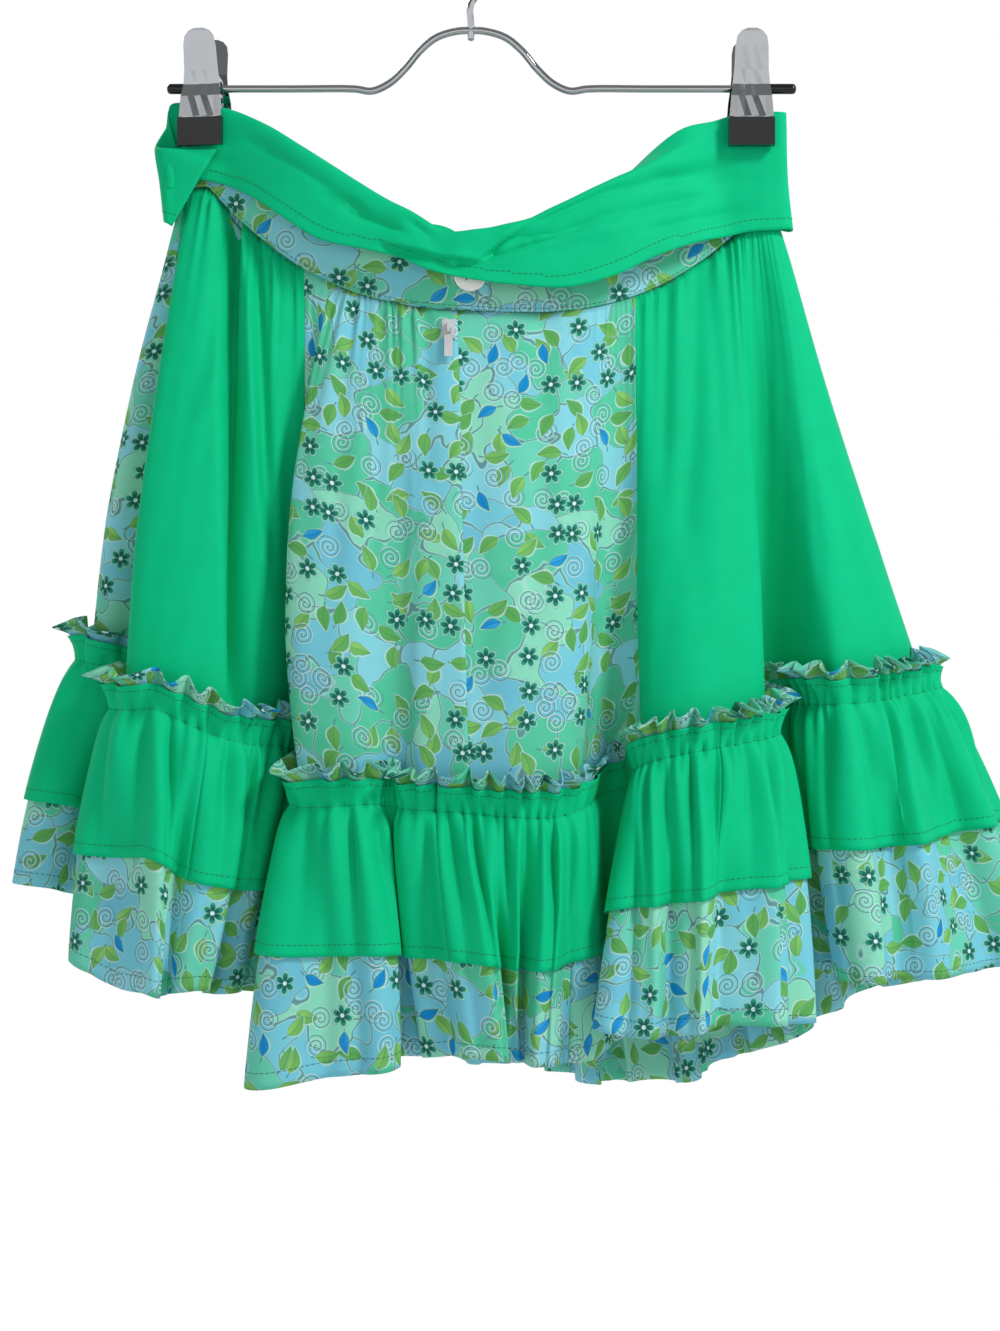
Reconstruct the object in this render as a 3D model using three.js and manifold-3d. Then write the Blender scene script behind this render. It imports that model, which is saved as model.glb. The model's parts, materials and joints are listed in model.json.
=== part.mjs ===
// A knee-length square dance skirt held by its waistband on a clip hanger.
// Six gores, print and green in turn, hang from a lapped print waistband with a zip at the centre back.
// Two gathered flounces are sewn over the gores on one gather line, and a sash is wound round the waist.
// Millimetres, +Z up.  The skirt's back faces -Y.  The origin is the inside top of the hanger's hook.

import * as THREE from "three";
import { mergeVertices } from "three/addons/utils/BufferGeometryUtils.js";
import Module from "manifold-3d";

const wasm = await Module();
wasm.setup();

// ---------------------------------------------------------------- driving dimensions

const SEAM_GAP = 0.3; // between two pieces that are sewn together

// The two clips: jaw centres, and how far the left one is turned on the bar.
const CLIP_LEFT_X = -149.7;
const CLIP_RIGHT_X = 157.6;
const CLIP_LEFT_TWIST = 10; // degrees, its rear plate to the right
const TWIST_REACH = 45; // how far along the waist the cloth follows the twist

// The waist seam: a ring pinched flat at the clips, sagging and open between them.
const WAIST = {
  centreX: 6,
  halfWidth: 168,
  halfSpan: 154, // centre to clip
  pinch: 3.2, // half the distance between the two strands at a clip
  opening: 28.8, // added to it in the middle
  leftZ: -151,
  rightZ: -166,
  nearSag: 66,
  farSag: 80,
  sagPower: 2.6, // above 2, the middle hangs flatter than a parabola
  turnback: 0.12, // sine of the turn within which a strand bends round the tip
};

// The waistband, its two ends given as turns; lift is how far the over-end stands off the under-end.
const BAND = {
  height: 38,
  wall: 2,
  underTurn: 82.6,
  overTurn: 451.3,
  lap: 15, // degrees over which it lifts
  lift: 2.4,
  step: 7.5, // degrees from one column to the next
  leastStep: 3,
};

const GORE = {
  wall: 1,
  bulge: 7, // how far the cloth bellies out halfway down
  gather: 1.1, // depth of the gathers under the waistband
  tail: 0.03, // share of the length that runs on under the flounces
  seat: 2.2, // how far it is drawn in behind the gather line
  seatFrom: 0.7, // share of the hang at which it begins to be drawn in
  drop: 1, // how far below the waistband's lower edge it starts
  normalFrom: 0.02, // nearer the waist seam, the wall's direction is taken from this share
  seamShare: 0.012, // of a fold, left open at a seam
};
const GORE_LEVELS = [0, 0.12, 0.4, 0.7, 1]; // shares of the hang

const FLOUNCE = {
  wall: 1.3,
  printLift: 0.5, // from the gore to the print flounce
  greenLift: 3.1, // from the gore to the green flounce
  printHeader: 26,
  greenHeader: 15,
  greenFall: 80,
  headerFlare: 2,
  bell: 4, // how far the cloth stands out halfway down
  wavePitch: 16, // one gather to the next along the gather line
  stitchDepth: 1.2, // half the depth of a gather on the stitching
  headerDepth: 1.9, // more at the header's edge
  skirtDepth: 1.5, // more just below the stitching
  settle: 12, // length over which it builds up
  relax: 0.3, // share that is lost toward the hem
  closeness: 0.35, // share of a closing fold's radius that gathers may fill
  greenMiddle: 25, // drop of the green flounce's middle row
  joinShare: 0.014, // of a fold, left open at a join of two strips
  joinClear: 0.03, // no column of a strip lies nearer its join than this
};
const COLUMNS_PER_WAVE = 3;

// The near half of the skirt, fold by fold from the left side to the right side.
//  turn:  place on the waist seam, degrees from the left tip
//  hang:  length of the gore from the waist seam to the gather line
//  foot:  x of the fold on the gather line, and its distance toward the viewer of the back
//  hem:   the same at the print flounce's hem
//  fall:  length of the print flounce below the gather line
//  belly: sideways bow of the fold halfway down
//  gather: how strongly the cloth is gathered at the waistband
//  ruffle: how deep the flounces' gathers are, less where two folds close on each other
const NEAR_FOLDS = [
  // name, turn, hang, footX, footOut, hemX, hemOut, fall, belly, gather, ruffle
  ["left_side", -6, 272, -219, -4, -254, 0, 129, -9, 0.3, 0.9],
  ["left_print", 1, 273, -208, 18, -236, 22, 128, -6, 0.2, 0.8],
  ["left_valley", 5, 280, -190, 1, -214, 4, 124, 0, 0.3, 0.2],
  ["left_turn", 9, 286, -171, 13, -192, 18, 124, 0, 0.3, 0.1],
  ["left_fold", 14, 299, -197, 46, -216, 52, 140, -5, 0.5, 0.8],
  ["left_a", 21.6, 300, -173, 60, -177, 70, 154, -4, 0.7, 1],
  ["left_b", 32, 294, -154, 62, -167, 66, 149, -3, 1, 1],
  ["left_c", 39, 290, -133, 58, -153, 68, 135, 0, 1, 1],
  ["left_d", 44, 283, -121, 44, -144, 54, 138, 0, 1, 1],
  ["left_e", 50, 272, -107, 33, -128, 52, 136, 0, 1, 0.6],
  ["seam_left_back", 54, 275, -92, 9, -112, 24, 132, 0, 0.5, 0],
  ["back_valley", 57.5, 279, -70, 18, -90, 36, 136, -4, 0.3, 0],
  ["back_fold", 61, 291, -97, 58, -121, 82, 156, -18, 0.5, 0.5],
  ["back_a", 64, 290, -77, 72, -81, 98, 144, -12, 1, 1],
  ["back_b", 68, 284, -56, 76, -46, 92, 143, -6, 1, 1],
  ["groove_left", 71, 282, -49, 67, -42, 76, 134, -2, 1, 0.5],
  ["groove_right", 74, 280, -36, 67, -21, 76, 135, 2, 1, 0.5],
  ["back_c", 77, 281, -29, 77, -14, 94, 132, 2, 1, 1],
  ["seam_zip", 83, 280, -4.5, 80, 11, 102, 131, 0, 0.2, 1],
  ["back_d", 97, 281, 24, 84, 22, 90, 130, 0, 0.1, 1],
  ["back_e", 107, 283, 48, 78, 48, 98, 131, 0, 0.1, 1],
  ["back_f", 111.5, 277, 62, 67, 62, 88, 137, 0, 0.2, 0.3],
  ["step", 114, 274, 64, 46, 76, 70, 134, 0, 0.4, 0],
  ["recess", 116.4, 272, 75, 31, 94, 72, 134, 0, 0.4, 0],
  ["recess_turn", 118.5, 272, 88, 33, 106, 90, 136, 0, 0.5, 0],
  ["seam_back_right", 120.6, 272, 93, 47, 66, 113, 142, 0, 0.6, 0],
  ["right_a", 124.7, 269, 94, 64, 79, 125, 152, 0, 1, 0.6],
  ["right_b", 134.6, 278, 118, 74, 116, 108, 150, 0, 1, 1],
  ["right_c", 144.5, 286, 146, 64, 141, 112, 153, 0, 1, 1],
  ["right_fold", 149, 285, 168, 47, 183, 82, 159, 0, 1, 0.8],
  ["right_valley", 152, 279, 150, 24, 164, 44, 157, 0, 0.8, 0.1],
  ["right_turn", 155, 278, 164, 6, 178, 22, 150, 0, 0.8, 0.1],
  ["right_d", 158, 277, 185, 18, 197, 40, 146, 0, 0.6, 0.6],
  ["right_e", 161.5, 281, 200, 42, 216, 70, 154, 0, 0.5, 1],
  ["right_f", 165.5, 281, 220, 36, 234, 56, 152, 0, 0.4, 1],
  ["right_g", 170.2, 280, 245, 18, 293, 30, 160, -3, 0.3, 1],
  ["right_side", 176.7, 281, 264, -6, 320, -8, 160, -6, 0.2, 1],
];

const SHARPNESS = 9; // 6 would run the curve through every fold, more rounds it off
const BEND_STEP = 0.2; // of a fold, either side of a place whose bend is measured
const LEAST_TURN = 1e-6; // radians; less counts as straight

// The far half: even folds that nobody has arranged, deepest in the middle.
const FAR = {
  folds: 17,
  footDepth: 48, // middle of the gather line behind the waist's centre plane
  hemDepth: 62,
  foldDepth: 12, // half the depth of one fold
  hemFoldDepth: 18,
  hang: 282,
  leftHang: 274,
  fall: 140,
  gather: 0.8,
  roundness: 0.6, // power of the sine that rounds the half off toward the sides
  foldRise: 2, // how soon the folds reach their whole depth from the sides
  foldStart: 0.6,
  rightLength: 15, // how much longer the cloth hangs, above and below the gather line, on the right half of it
};

// Where one gore ends and the next begins.  A number is a fold of the far half.
const GORES = [
  // name, from, to, cloth
  ["panel_green_left", "left_valley", "seam_left_back", "green"],
  ["panel_back_left", "seam_left_back", "seam_zip", "print"],
  ["panel_back_right", "seam_zip", "seam_back_right", "print"],
  ["panel_green_right", "seam_back_right", 2, "green"],
  ["panel_print_right", 2, 7, "print"],
  ["panel_green_front", 7, 12, "green"],
  ["panel_print_left", 12, "left_valley", "print"],
];

// Joins between the strips of each flounce, by fold and share of the way to the next one.
const STRIP_JOINS = {
  print: [["left_e", 0.5], ["back_e", 0.4], ["right_c", 0.5], [3, 0], [8, 0], [14, 0]],
  green: [["left_b", 0.5], ["back_c", 0.5], ["right_b", 0.5], [2, 0], [7, 0], [13, 0]],
};

// The sash: one strip wound once round, from under the left clip back to it.
const SASH = {
  width: 66,
  wall: 1.2,
  crease: 2, // length of cloth in the bend of the turned-back upper part
  hidden: 2, // how far above the lower edge the turned-back part ends; what is longer turns up again inside
  least: 8, // least length of the turned-back part
  tuck: 1.6, // from the front to the turned-back part
  tuckOpen: 0.08, // more for each mm that the strand stands out beyond tuckStart
  tuckStart: 7,
  flare: 2.5, // how far the lower edge stands out where nothing is turned back
};

// Where the turned-back part has its two middle points when none of it turns up again, from its edge on.
const LEAF_SHARES = [0.8, 0.6];

// Its near strand, from its start under the left clip to the right clip.
//  low and top: x and z of the lower edge and of the crease where the upper part turns back
//  out: distance toward the viewer of the back; roll: how far the upper part is turned down behind
const SASH_NEAR = [
  // lowX, lowZ, topX, topZ, out, roll
  [-163, -147, -160, -107, 7.0, 180],
  [-149, -148, -145, -107, 7.1, 180],
  [-138, -151, -133, -110, 7.6, 180],
  [-124, -158, -114, -120, 14, 180],
  [-107, -170, -95, -133, 23, 180],
  [-84, -185, -71, -149, 31, 180],
  [-61, -191, -48, -164, 37, 180],
  [-40, -196, -30, -174, 42, 180],
  [-21, -204, -13, -184, 45, 180],
  [1, -209, 4, -183, 46, 180],
  [25, -212, 27, -178, 45, 180],
  [53, -213, 49, -168, 43, 180],
  [79, -206, 73, -156, 38, 150],
  [105, -193, 98, -144, 29, 90],
  [128, -184, 122, -131, 17, 35],
  [143, -180, 138, -123, 6.6, 8],
  [156, -177, 152, -118, 5.6, 0],
  [170, -176, 167, -117, 5.6, 0],
];
// Round the right tip of the waistband.
const SASH_TURN = [
  [178.4, -175, 177, -117, 3.8, 0],
  [178.4, -175, 177, -117, -3.8, 0],
];
// Its far strand, set off from the waist ring between two turns; drop is how far its lower edge hangs below.
const SASH_FAR = {
  rows: 16,
  from: 191,
  to: 349,
  rightDrop: 7,
  leftDrop: 16.5,
  clearance: 3.4,
  pinched: 2.2, // clearance at the clips
  ease: 6, // opening of the waist over which the clearance grows
};
// Its end, over the left clip's jaws: the last row is the slanted edge.
const SASH_END = [
  [-171, -169, -171, -116, -3.4, 0],
  [-173, -170, -178, -128, 4.6, 150],
  [-171, -172, -173, -130.4, 11.2, 180],
  [-169.5, -173, -158, -130.8, 11.6, 180],
  [-168, -174, -142.5, -131.5, 11.6, 180],
];

// The zip, inside the centre-back seam.  tapeHalf is in folds, from and sliderShare are shares of the hang.
const ZIP = { tapeHalf: 0.42, tapeIn: 2, tapeWall: 0.8, from: 0.01, sliderShare: 0.045, lean: 15 };
const SLIDER = {
  width: 7.5,
  length: 11,
  thick: 2.6,
  bridgeWide: 1.6,
  bridgeLong: 6.4,
  bridgeHigh: 3.6,
  wire: 1.1,
  root: 0.5, // how far the bridge goes into the body
};
const PULL = { pin: 0.65, arm: 1.1, reach: 1.75, neck: 4, length: 17, width: 4.6, thick: 1.1, root: 0.3 };

const BUTTON = {
  x: 0,
  z: -205.5,
  radius: 9,
  thick: 2.6,
  bevel: 0.6,
  holeRadius: 1.1,
  holeOffset: 2.2,
  sides: 24,
  holeSides: 8,
};

// The hanger: one wire with a hump, a hook through the hump, black end sleeves.
const WIRE_RADIUS = 2.1;
const BAR = { z: -95, left: -169.5, right: 181.5 };
const HUMP = [
  // distance from the hook, height over the bar
  [66, 0],
  [56, -1.2],
  [46.3, 3],
  [37.3, 11.3],
  [28.8, 21.5],
  [19.5, 29],
  [8.5, 32.5],
];
const HUMP_TOP = 33;
const HUMP_STEPS = 26;
const BOSS = { wall: 2, thick: 4.2, boreLength: 12 }; // round the hook's stem on top of the hump
const HOOK = { radius: 20, wire: 2, bottom: -66.5, neck: -47, neckTurn: -52, tipTurn: 205, steps: 18 };
const SLEEVE = { radius: 2.9, bore: 2.3, wall: 1.5, bevel: 0.8, leftInner: -160, rightInner: 168 };
const ROUND_SIDES = 12;
const WIRE_SIDES = 8;

// A clip: stamped plates that pivot on the bar, with rubber jaws.
const PLATE = { wall: 1, fluteDepth: 0.9, fluteReach: 0.9, tongueHalf: 9.2, tongueOut: 11.8, tongueZ: -127 };
const PLATE_COLUMNS = [-1, -0.66, -0.33, 0, 0.33, 0.66, 1]; // shares of the half width
const PLATE_ROWS = [
  // z, half width, distance out, flute share
  [-64.0, 2.5, 15.4, 0],
  [-65.4, 5.9, 15.0, 0],
  [-68.2, 8.3, 14.3, 0],
  [-73.0, 9.2, 13.2, 0],
  [-86.0, 9.6, 10.0, 0.2],
  [-94.0, 10.5, 8.6, 1],
  [-101.0, 11.4, 11.2, 1],
  [-112.6, 12.3, 11.8, 0.3],
];
const EAR = { inner: 6.5, outer: 8.3, wall: 1.1, radius: 5.3, hole: 3.9, roundTo: 75 };
const EAR_ROOT = [
  // distance out from the bar, height over it
  [9.8, 7.6],
  [8.8, 1],
  [10.6, -4.8],
];
const PAD = { half: 12.85, topZ: -113.3, bottomZ: -129, outer: 13.6, slotPlay: 0.2, slotOver: 2 };
const PAD_INNER = { left_near: 10.2, left_far: 7.5, right_near: 7.5, right_far: 7.5 };
const SPRING = { radius: 4.3, wire: 0.6, half: 4.6, turns: 3.5, sides: 5, steps: 32 };

// ---------------------------------------------------------------- materials

const FINISH = {
  green: { color: 0x08b070, roughness: 0.82, metalness: 0 },
  print: { color: 0x9cc9b8, roughness: 0.85, metalness: 0 },
  tape: { color: 0x5f9f93, roughness: 0.9, metalness: 0 },
  button: { color: 0xf4f4f2, roughness: 0.3, metalness: 0 },
  zipMetal: { color: 0xb9bcbd, roughness: 0.35, metalness: 0.8 },
  chrome: { color: 0xd5d9dc, roughness: 0.12, metalness: 1 },
  rubber: { color: 0x15161a, roughness: 0.6, metalness: 0 },
};

const skirt = new THREE.Group();

/** Adds one named mesh with its own material to a group. */
function addPiece(name, geometry, finish, group = skirt) {
  const mesh = new THREE.Mesh(geometry, new THREE.MeshStandardMaterial(FINISH[finish]));
  mesh.name = name;
  group.add(mesh);
  return mesh;
}

// ---------------------------------------------------------------- small functions

const rad = THREE.MathUtils.degToRad;
const lerp = THREE.MathUtils.lerp;
const clamp = THREE.MathUtils.clamp;

/** A parabola that is 0 at both ends of 0..1 and 1 in the middle. */
const arch = (share) => 4 * share * (1 - share);

/** Weights of the four controls round one interval of a uniform cubic B-spline. */
function splineWeights(t) {
  return [
    (1 - t) ** 3 / 6,
    (3 * t ** 3 - 6 * t ** 2 + 4) / 6,
    (-3 * t ** 3 + 3 * t ** 2 + 3 * t + 1) / 6,
    t ** 3 / 6,
  ];
}

// ---------------------------------------------------------------- the waist ring

/** The sideways shift of the cloth where the turned left clip holds it. */
function twistShift(x) {
  const run = x - CLIP_LEFT_X;
  return -Math.tan(rad(CLIP_LEFT_TWIST)) * run * Math.exp(-((run / TWIST_REACH) ** 2) / 2);
}

/** Half the distance between the near and far strands at a place along the bar. */
function waistDepth(x) {
  const across = clamp((x - WAIST.centreX) / WAIST.halfSpan, -1, 1);
  return WAIST.pinch + WAIST.opening * (1 - across ** 2) ** 2;
}

/** Which strand a turn is on: 1 on the near one, -1 on the far one, in between round a tip. */
function strandSide(turn) {
  return Math.tanh(Math.sin(rad(turn)) / WAIST.turnback);
}

/** A point of the waist seam, the turn counted from the left tip over the near strand. */
function waistPoint(turn) {
  const x = WAIST.centreX - WAIST.halfWidth * Math.cos(rad(turn));
  const side = strandSide(turn);
  const across = clamp((x - WAIST.centreX) / WAIST.halfSpan, -1, 1);
  const sag = lerp(WAIST.farSag, WAIST.nearSag, (side + 1) / 2);
  const ends = lerp(WAIST.leftZ, WAIST.rightZ, (across + 1) / 2);
  const z = ends - sag * (1 - Math.abs(across) ** WAIST.sagPower);
  return new THREE.Vector3(x, -side * waistDepth(x) + twistShift(x), z);
}

/** The directions of the waist seam at a turn: along it, up the waistband and out of it. */
function waistFrame(turn) {
  const along = waistPoint(turn + 0.5).sub(waistPoint(turn - 0.5)).normalize();
  const up = new THREE.Vector3(0, 0, 1).addScaledVector(along, -along.z).normalize();
  const out = along.clone().cross(up).normalize();
  return { along, up, out };
}

// ---------------------------------------------------------------- folds of the skirt

/** The far half's folds, worked out from its named sizes. */
function farFolds() {
  const first = NEAR_FOLDS[0];
  const last = NEAR_FOLDS[NEAR_FOLDS.length - 1];
  const rows = [];
  for (let i = 1; i <= FAR.folds; i++) {
    const share = i / (FAR.folds + 1);
    const round = Math.sin(Math.PI * share) ** FAR.roundness;
    const fold = (i % 2 ? 1 : -1) * Math.min(1, FAR.foldRise * round - FAR.foldStart);
    const longer = FAR.rightLength * Math.sin(Math.PI * Math.min(1, 2 * share));
    rows.push([
      `far_${i}`,
      lerp(last[1], 360 + first[1], share),
      lerp(FAR.hang, FAR.leftHang, share) + longer,
      lerp(last[3], first[3], share),
      -FAR.footDepth * round - FAR.foldDepth * fold,
      lerp(last[5], first[5], share),
      -FAR.hemDepth * round - FAR.hemFoldDepth * fold,
      lerp(lerp(last[7], first[7], share), FAR.fall, round) + longer,
      0,
      FAR.gather * round,
      1,
    ]);
  }
  return rows;
}

const FOLD_KEYS = ["turn", "hang", "footX", "footOut", "hemX", "hemOut", "fall", "belly", "gather", "ruffle"];
const FOLDS = [...NEAR_FOLDS, ...farFolds()].map(([name, ...values]) => {
  const fold = { name };
  FOLD_KEYS.forEach((key, i) => (fold[key] = values[i]));
  return fold;
});

/** A fold by its index, which may run past either end of the ring. */
function foldValue(index, key) {
  const laps = Math.floor(index / FOLDS.length);
  const value = FOLDS[index - laps * FOLDS.length][key];
  return key === "turn" ? value + 360 * laps : value;
}

/** A spline control that takes the curve most of the way out to the fold's own value. */
function foldControl(index, key) {
  const [before, here, after] = [-1, 0, 1].map((step) => foldValue(index + step, key));
  return here - (before - 2 * here + after) / SHARPNESS;
}

/** All sizes at a place on the ring, the place counted in folds. */
function foldAt(place) {
  const index = Math.floor(place);
  const weights = splineWeights(place - index);
  const sizes = {};
  for (const key of FOLD_KEYS)
    sizes[key] = weights.reduce((sum, weight, i) => sum + weight * foldControl(index - 1 + i, key), 0);
  return sizes;
}

/** The place of a named near fold, or of a numbered far one. */
function placeOf(fold) {
  if (typeof fold === "number") return NEAR_FOLDS.length - 1 + fold;
  return FOLDS.findIndex(({ name }) => name === fold);
}

/** Waist, gather-line and hem points of the fold at a place. */
function foldPoints(place) {
  const sizes = foldAt(place);
  const waist = waistPoint(sizes.turn);
  const foot = new THREE.Vector3(sizes.footX, -sizes.footOut, 0);
  foot.z = waist.z - Math.sqrt(sizes.hang ** 2 - (foot.x - waist.x) ** 2 - (foot.y - waist.y) ** 2);
  const hem = new THREE.Vector3(sizes.hemX, -sizes.hemOut, 0);
  hem.z = foot.z - Math.sqrt(sizes.fall ** 2 - (hem.x - foot.x) ** 2 - (hem.y - foot.y) ** 2);
  return { sizes, waist, foot, hem };
}

/** A point of the gores' outer face, the share counted from the waist seam to the gather line. */
function gorePoint(place, share) {
  const { sizes, waist, foot } = foldPoints(place);
  const point = waist.clone().lerp(foot, share);
  const swell = arch(Math.min(share, 1));
  point.x += sizes.belly * swell;
  point.y -= GORE.bulge * strandSide(sizes.turn) * swell;
  return point;
}

/** A point of the flounces' base, the drop counted down from the gather line in cloth lengths. */
function flouncePoint(place, drop) {
  const { sizes, foot, hem } = foldPoints(place);
  if (drop <= 0) return gorePoint(place, 1 + drop / sizes.hang);
  return foot.clone().lerp(hem, drop / sizes.fall);
}

/** The level normal of a ring of points and the radius of its bend, positive where it closes. */
function ringBend(pointAt) {
  const [before, here, after] = [-BEND_STEP, 0, BEND_STEP].map((shift) => pointAt(shift).setZ(0));
  const into = here.clone().sub(before);
  const from = after.clone().sub(here);
  const along = into.clone().add(from).normalize();
  const normal = new THREE.Vector3(along.y, -along.x, 0);
  const turn = Math.atan2(into.x * from.y - into.y * from.x, into.dot(from));
  const radius = turn > 0 ? Infinity : (into.length() + from.length()) / 2 / Math.max(-turn, LEAST_TURN);
  return { normal, radius };
}

// ---------------------------------------------------------------- cloth walls

/**
 * Closes two grids of points, [column][row], into one solid wall.
 * The columns run along the ring and the rows downward; outer lies on the side away from the body.
 */
function wallGeometry(outer, inner, ring) {
  const columns = outer.length;
  const rows = outer[0].length;
  const points = [...outer.flat(), ...inner.flat()];
  const positions = points.flatMap((point) => [point.x, point.y, point.z]);
  const at = (side, column, row) => side * columns * rows + (column % columns) * rows + row;
  const faces = [];
  const quad = (a, b, c, d) => faces.push(a, b, c, a, c, d);
  const spans = ring ? columns : columns - 1;
  for (let c = 0; c < spans; c++) {
    for (let r = 0; r + 1 < rows; r++) {
      quad(at(0, c, r), at(0, c, r + 1), at(0, c + 1, r + 1), at(0, c + 1, r));
      quad(at(1, c, r), at(1, c + 1, r), at(1, c + 1, r + 1), at(1, c, r + 1));
    }
    quad(at(0, c, 0), at(0, c + 1, 0), at(1, c + 1, 0), at(1, c, 0));
    quad(at(0, c, rows - 1), at(1, c, rows - 1), at(1, c + 1, rows - 1), at(0, c + 1, rows - 1));
  }
  if (!ring) {
    const last = columns - 1;
    for (let r = 0; r + 1 < rows; r++) {
      quad(at(0, 0, r), at(1, 0, r), at(1, 0, r + 1), at(0, 0, r + 1));
      quad(at(0, last, r), at(0, last, r + 1), at(1, last, r + 1), at(1, last, r));
    }
  }
  const geometry = new THREE.BufferGeometry();
  geometry.setAttribute("position", new THREE.Float32BufferAttribute(positions, 3));
  geometry.setIndex(faces);
  geometry.computeVertexNormals();
  return geometry;
}

// Least cosine that lengthens a wall's offset at a sharp fold, so that no corner runs out far.
const LEAST_FACING = 0.7;

/** Normals of an open grid of points, each long enough to keep the wall's thickness round a bend. */
function gridNormals(grid) {
  const columns = grid.length;
  const rows = grid[0].length;
  const cell = (c, r) => {
    const across = grid[c + 1][r].clone().sub(grid[c][r]);
    const down = grid[c][r + 1].clone().sub(grid[c][r]);
    return down.cross(across).normalize();
  };
  return grid.map((column, c) =>
    column.map((_, r) => {
      const cells = [];
      for (const i of [c - 1, c])
        for (const j of [r - 1, r])
          if (i >= 0 && j >= 0 && i < columns - 1 && j < rows - 1) cells.push(cell(i, j));
      const mean = cells.reduce((sum, normal) => sum.add(normal), new THREE.Vector3()).normalize();
      const facing = cells.reduce((sum, normal) => sum + normal.dot(mean), 0) / cells.length;
      return mean.multiplyScalar(1 / Math.max(facing, LEAST_FACING));
    }),
  );
}

/** A wall of even thickness about an open grid of points. */
function evenWall(grid, wall) {
  const normals = gridNormals(grid);
  const shifted = (distance) =>
    grid.map((column, c) => column.map((point, r) => point.clone().addScaledVector(normals[c][r], distance)));
  return wallGeometry(shifted(wall / 2), shifted(-wall / 2), false);
}

// ---------------------------------------------------------------- gores

/** A point of a gore moved out from the base, gathered under the waistband. */
function goreSurface(place, share, distance) {
  const { normal } = ringBend((shift) => gorePoint(place + shift, Math.max(share, GORE.normalFrom)));
  const depth = GORE.gather * foldAt(place).gather * Math.max(0, 1 - share) ** 2;
  return gorePoint(place, share).addScaledVector(normal, distance + depth * Math.cos(2 * Math.PI * place));
}

/** Places from one seam to the next, two to a fold, kept clear of the seams. */
function gorePlaces(from, to) {
  const places = [from + GORE.seamShare];
  for (let half = Math.floor(from * 2) + 1; half / 2 < to - GORE.seamShare; half++) places.push(half / 2);
  places.push(to - GORE.seamShare);
  return places;
}

/** A gore's point with its tail drawn in behind the flounces and its top edge below the waistband. */
function seatedGorePoint(place, share, distance) {
  const drawn = clamp((share - GORE.seatFrom) / (1 - GORE.seatFrom), 0, 1);
  const point = goreSurface(place, share, distance - GORE.seat * drawn);
  return share === 0 ? point.addScaledVector(waistFrame(foldAt(place).turn).up, -GORE.drop) : point;
}

function buildGores() {
  for (const [name, first, last, cloth] of GORES) {
    const from = placeOf(first);
    const end = placeOf(last);
    const to = end > from ? end : end + FOLDS.length;
    const places = gorePlaces(from, to);
    const levels = GORE_LEVELS.map((share) => (share === 1 ? 1 + GORE.tail : share));
    const face = (distance) =>
      places.map((place) => levels.map((share) => seatedGorePoint(place, share, distance)));
    addPiece(name, wallGeometry(face(0), face(-GORE.wall), false), cloth);
  }
}

// ---------------------------------------------------------------- flounces

/** How many gathers lie between each fold and the next, and their running total. */
const GATHERS = (() => {
  const counts = [];
  const total = [0];
  for (let i = 0; i < FOLDS.length; i++) {
    const chord = foldPoints(i + 1).foot.distanceTo(foldPoints(i).foot);
    counts.push(Math.max(1, Math.round(chord / FLOUNCE.wavePitch)));
    total.push(total[i] + counts[i]);
  }
  return { counts, total };
})();

/** Half the depth of a gather at a drop below the gather line. */
function gatherDepth(drop) {
  if (drop < 0) return FLOUNCE.stitchDepth + (FLOUNCE.headerDepth * -drop) / FLOUNCE.printHeader;
  const built = FLOUNCE.skirtDepth * (1 - Math.exp(-drop / FLOUNCE.settle));
  return (FLOUNCE.stitchDepth + built) * (1 - (FLOUNCE.relax * drop) / FAR.fall);
}

/** A point of a flounce: the base moved out by a lift and by its gathers. */
function flounceSurface(place, drop, lift) {
  const index = ((Math.floor(place) % FOLDS.length) + FOLDS.length) % FOLDS.length;
  const phase = (place - Math.floor(place)) * GATHERS.counts[index];
  const { normal, radius } = ringBend((shift) => flouncePoint(place + shift, drop));
  const sizes = foldAt(place);
  const room = Math.max(0, FLOUNCE.closeness * radius - FLOUNCE.greenLift);
  const depth = Math.min(gatherDepth(drop) * clamp(sizes.ruffle, 0, 1), room);
  const flare = drop < 0 ? (FLOUNCE.headerFlare * -drop) / FLOUNCE.printHeader : 0;
  const bell = drop > 0 ? FLOUNCE.bell * arch(drop / sizes.fall) * clamp(sizes.ruffle, 0, 1) : 0;
  const wave = depth * (1 + Math.sin(2 * Math.PI * phase));
  return flouncePoint(place, drop).addScaledVector(normal, lift + wave + Math.min(flare + bell, 2 * room));
}

/** Places along a strip, each gather sampled evenly, kept clear of the joins. */
function stripPlaces(from, to) {
  const places = [from + FLOUNCE.joinShare];
  for (let i = Math.floor(from); i < to; i++) {
    const steps = GATHERS.counts[i % FOLDS.length] * COLUMNS_PER_WAVE;
    for (let step = 0; step < steps; step++) {
      const place = i + step / steps;
      if (place > from + FLOUNCE.joinClear && place < to - FLOUNCE.joinClear) places.push(place);
    }
  }
  places.push(to - FLOUNCE.joinShare);
  return places;
}

function buildFlounce(cloth, lift, levelsAt) {
  const joins = STRIP_JOINS[cloth].map(([fold, share]) => placeOf(fold) + share);
  joins.forEach((from, i) => {
    const to = i + 1 < joins.length ? joins[i + 1] : joins[0] + FOLDS.length;
    const face = (distance) =>
      stripPlaces(from, to).map((place) =>
        levelsAt(foldAt(place).fall).map((drop) => flounceSurface(place, drop, lift + distance)),
      );
    addPiece(`flounce_${cloth}_${i + 1}`, wallGeometry(face(FLOUNCE.wall), face(0), false), cloth);
  });
}

function buildFlounces() {
  const { printHeader, greenHeader, greenMiddle, greenFall } = FLOUNCE;
  buildFlounce("print", FLOUNCE.printLift, (fall) => [-printHeader, 0, greenFall, fall]);
  buildFlounce("green", FLOUNCE.greenLift, () => [-greenHeader, 0, greenMiddle, greenFall]);
}

// ---------------------------------------------------------------- waistband

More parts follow.
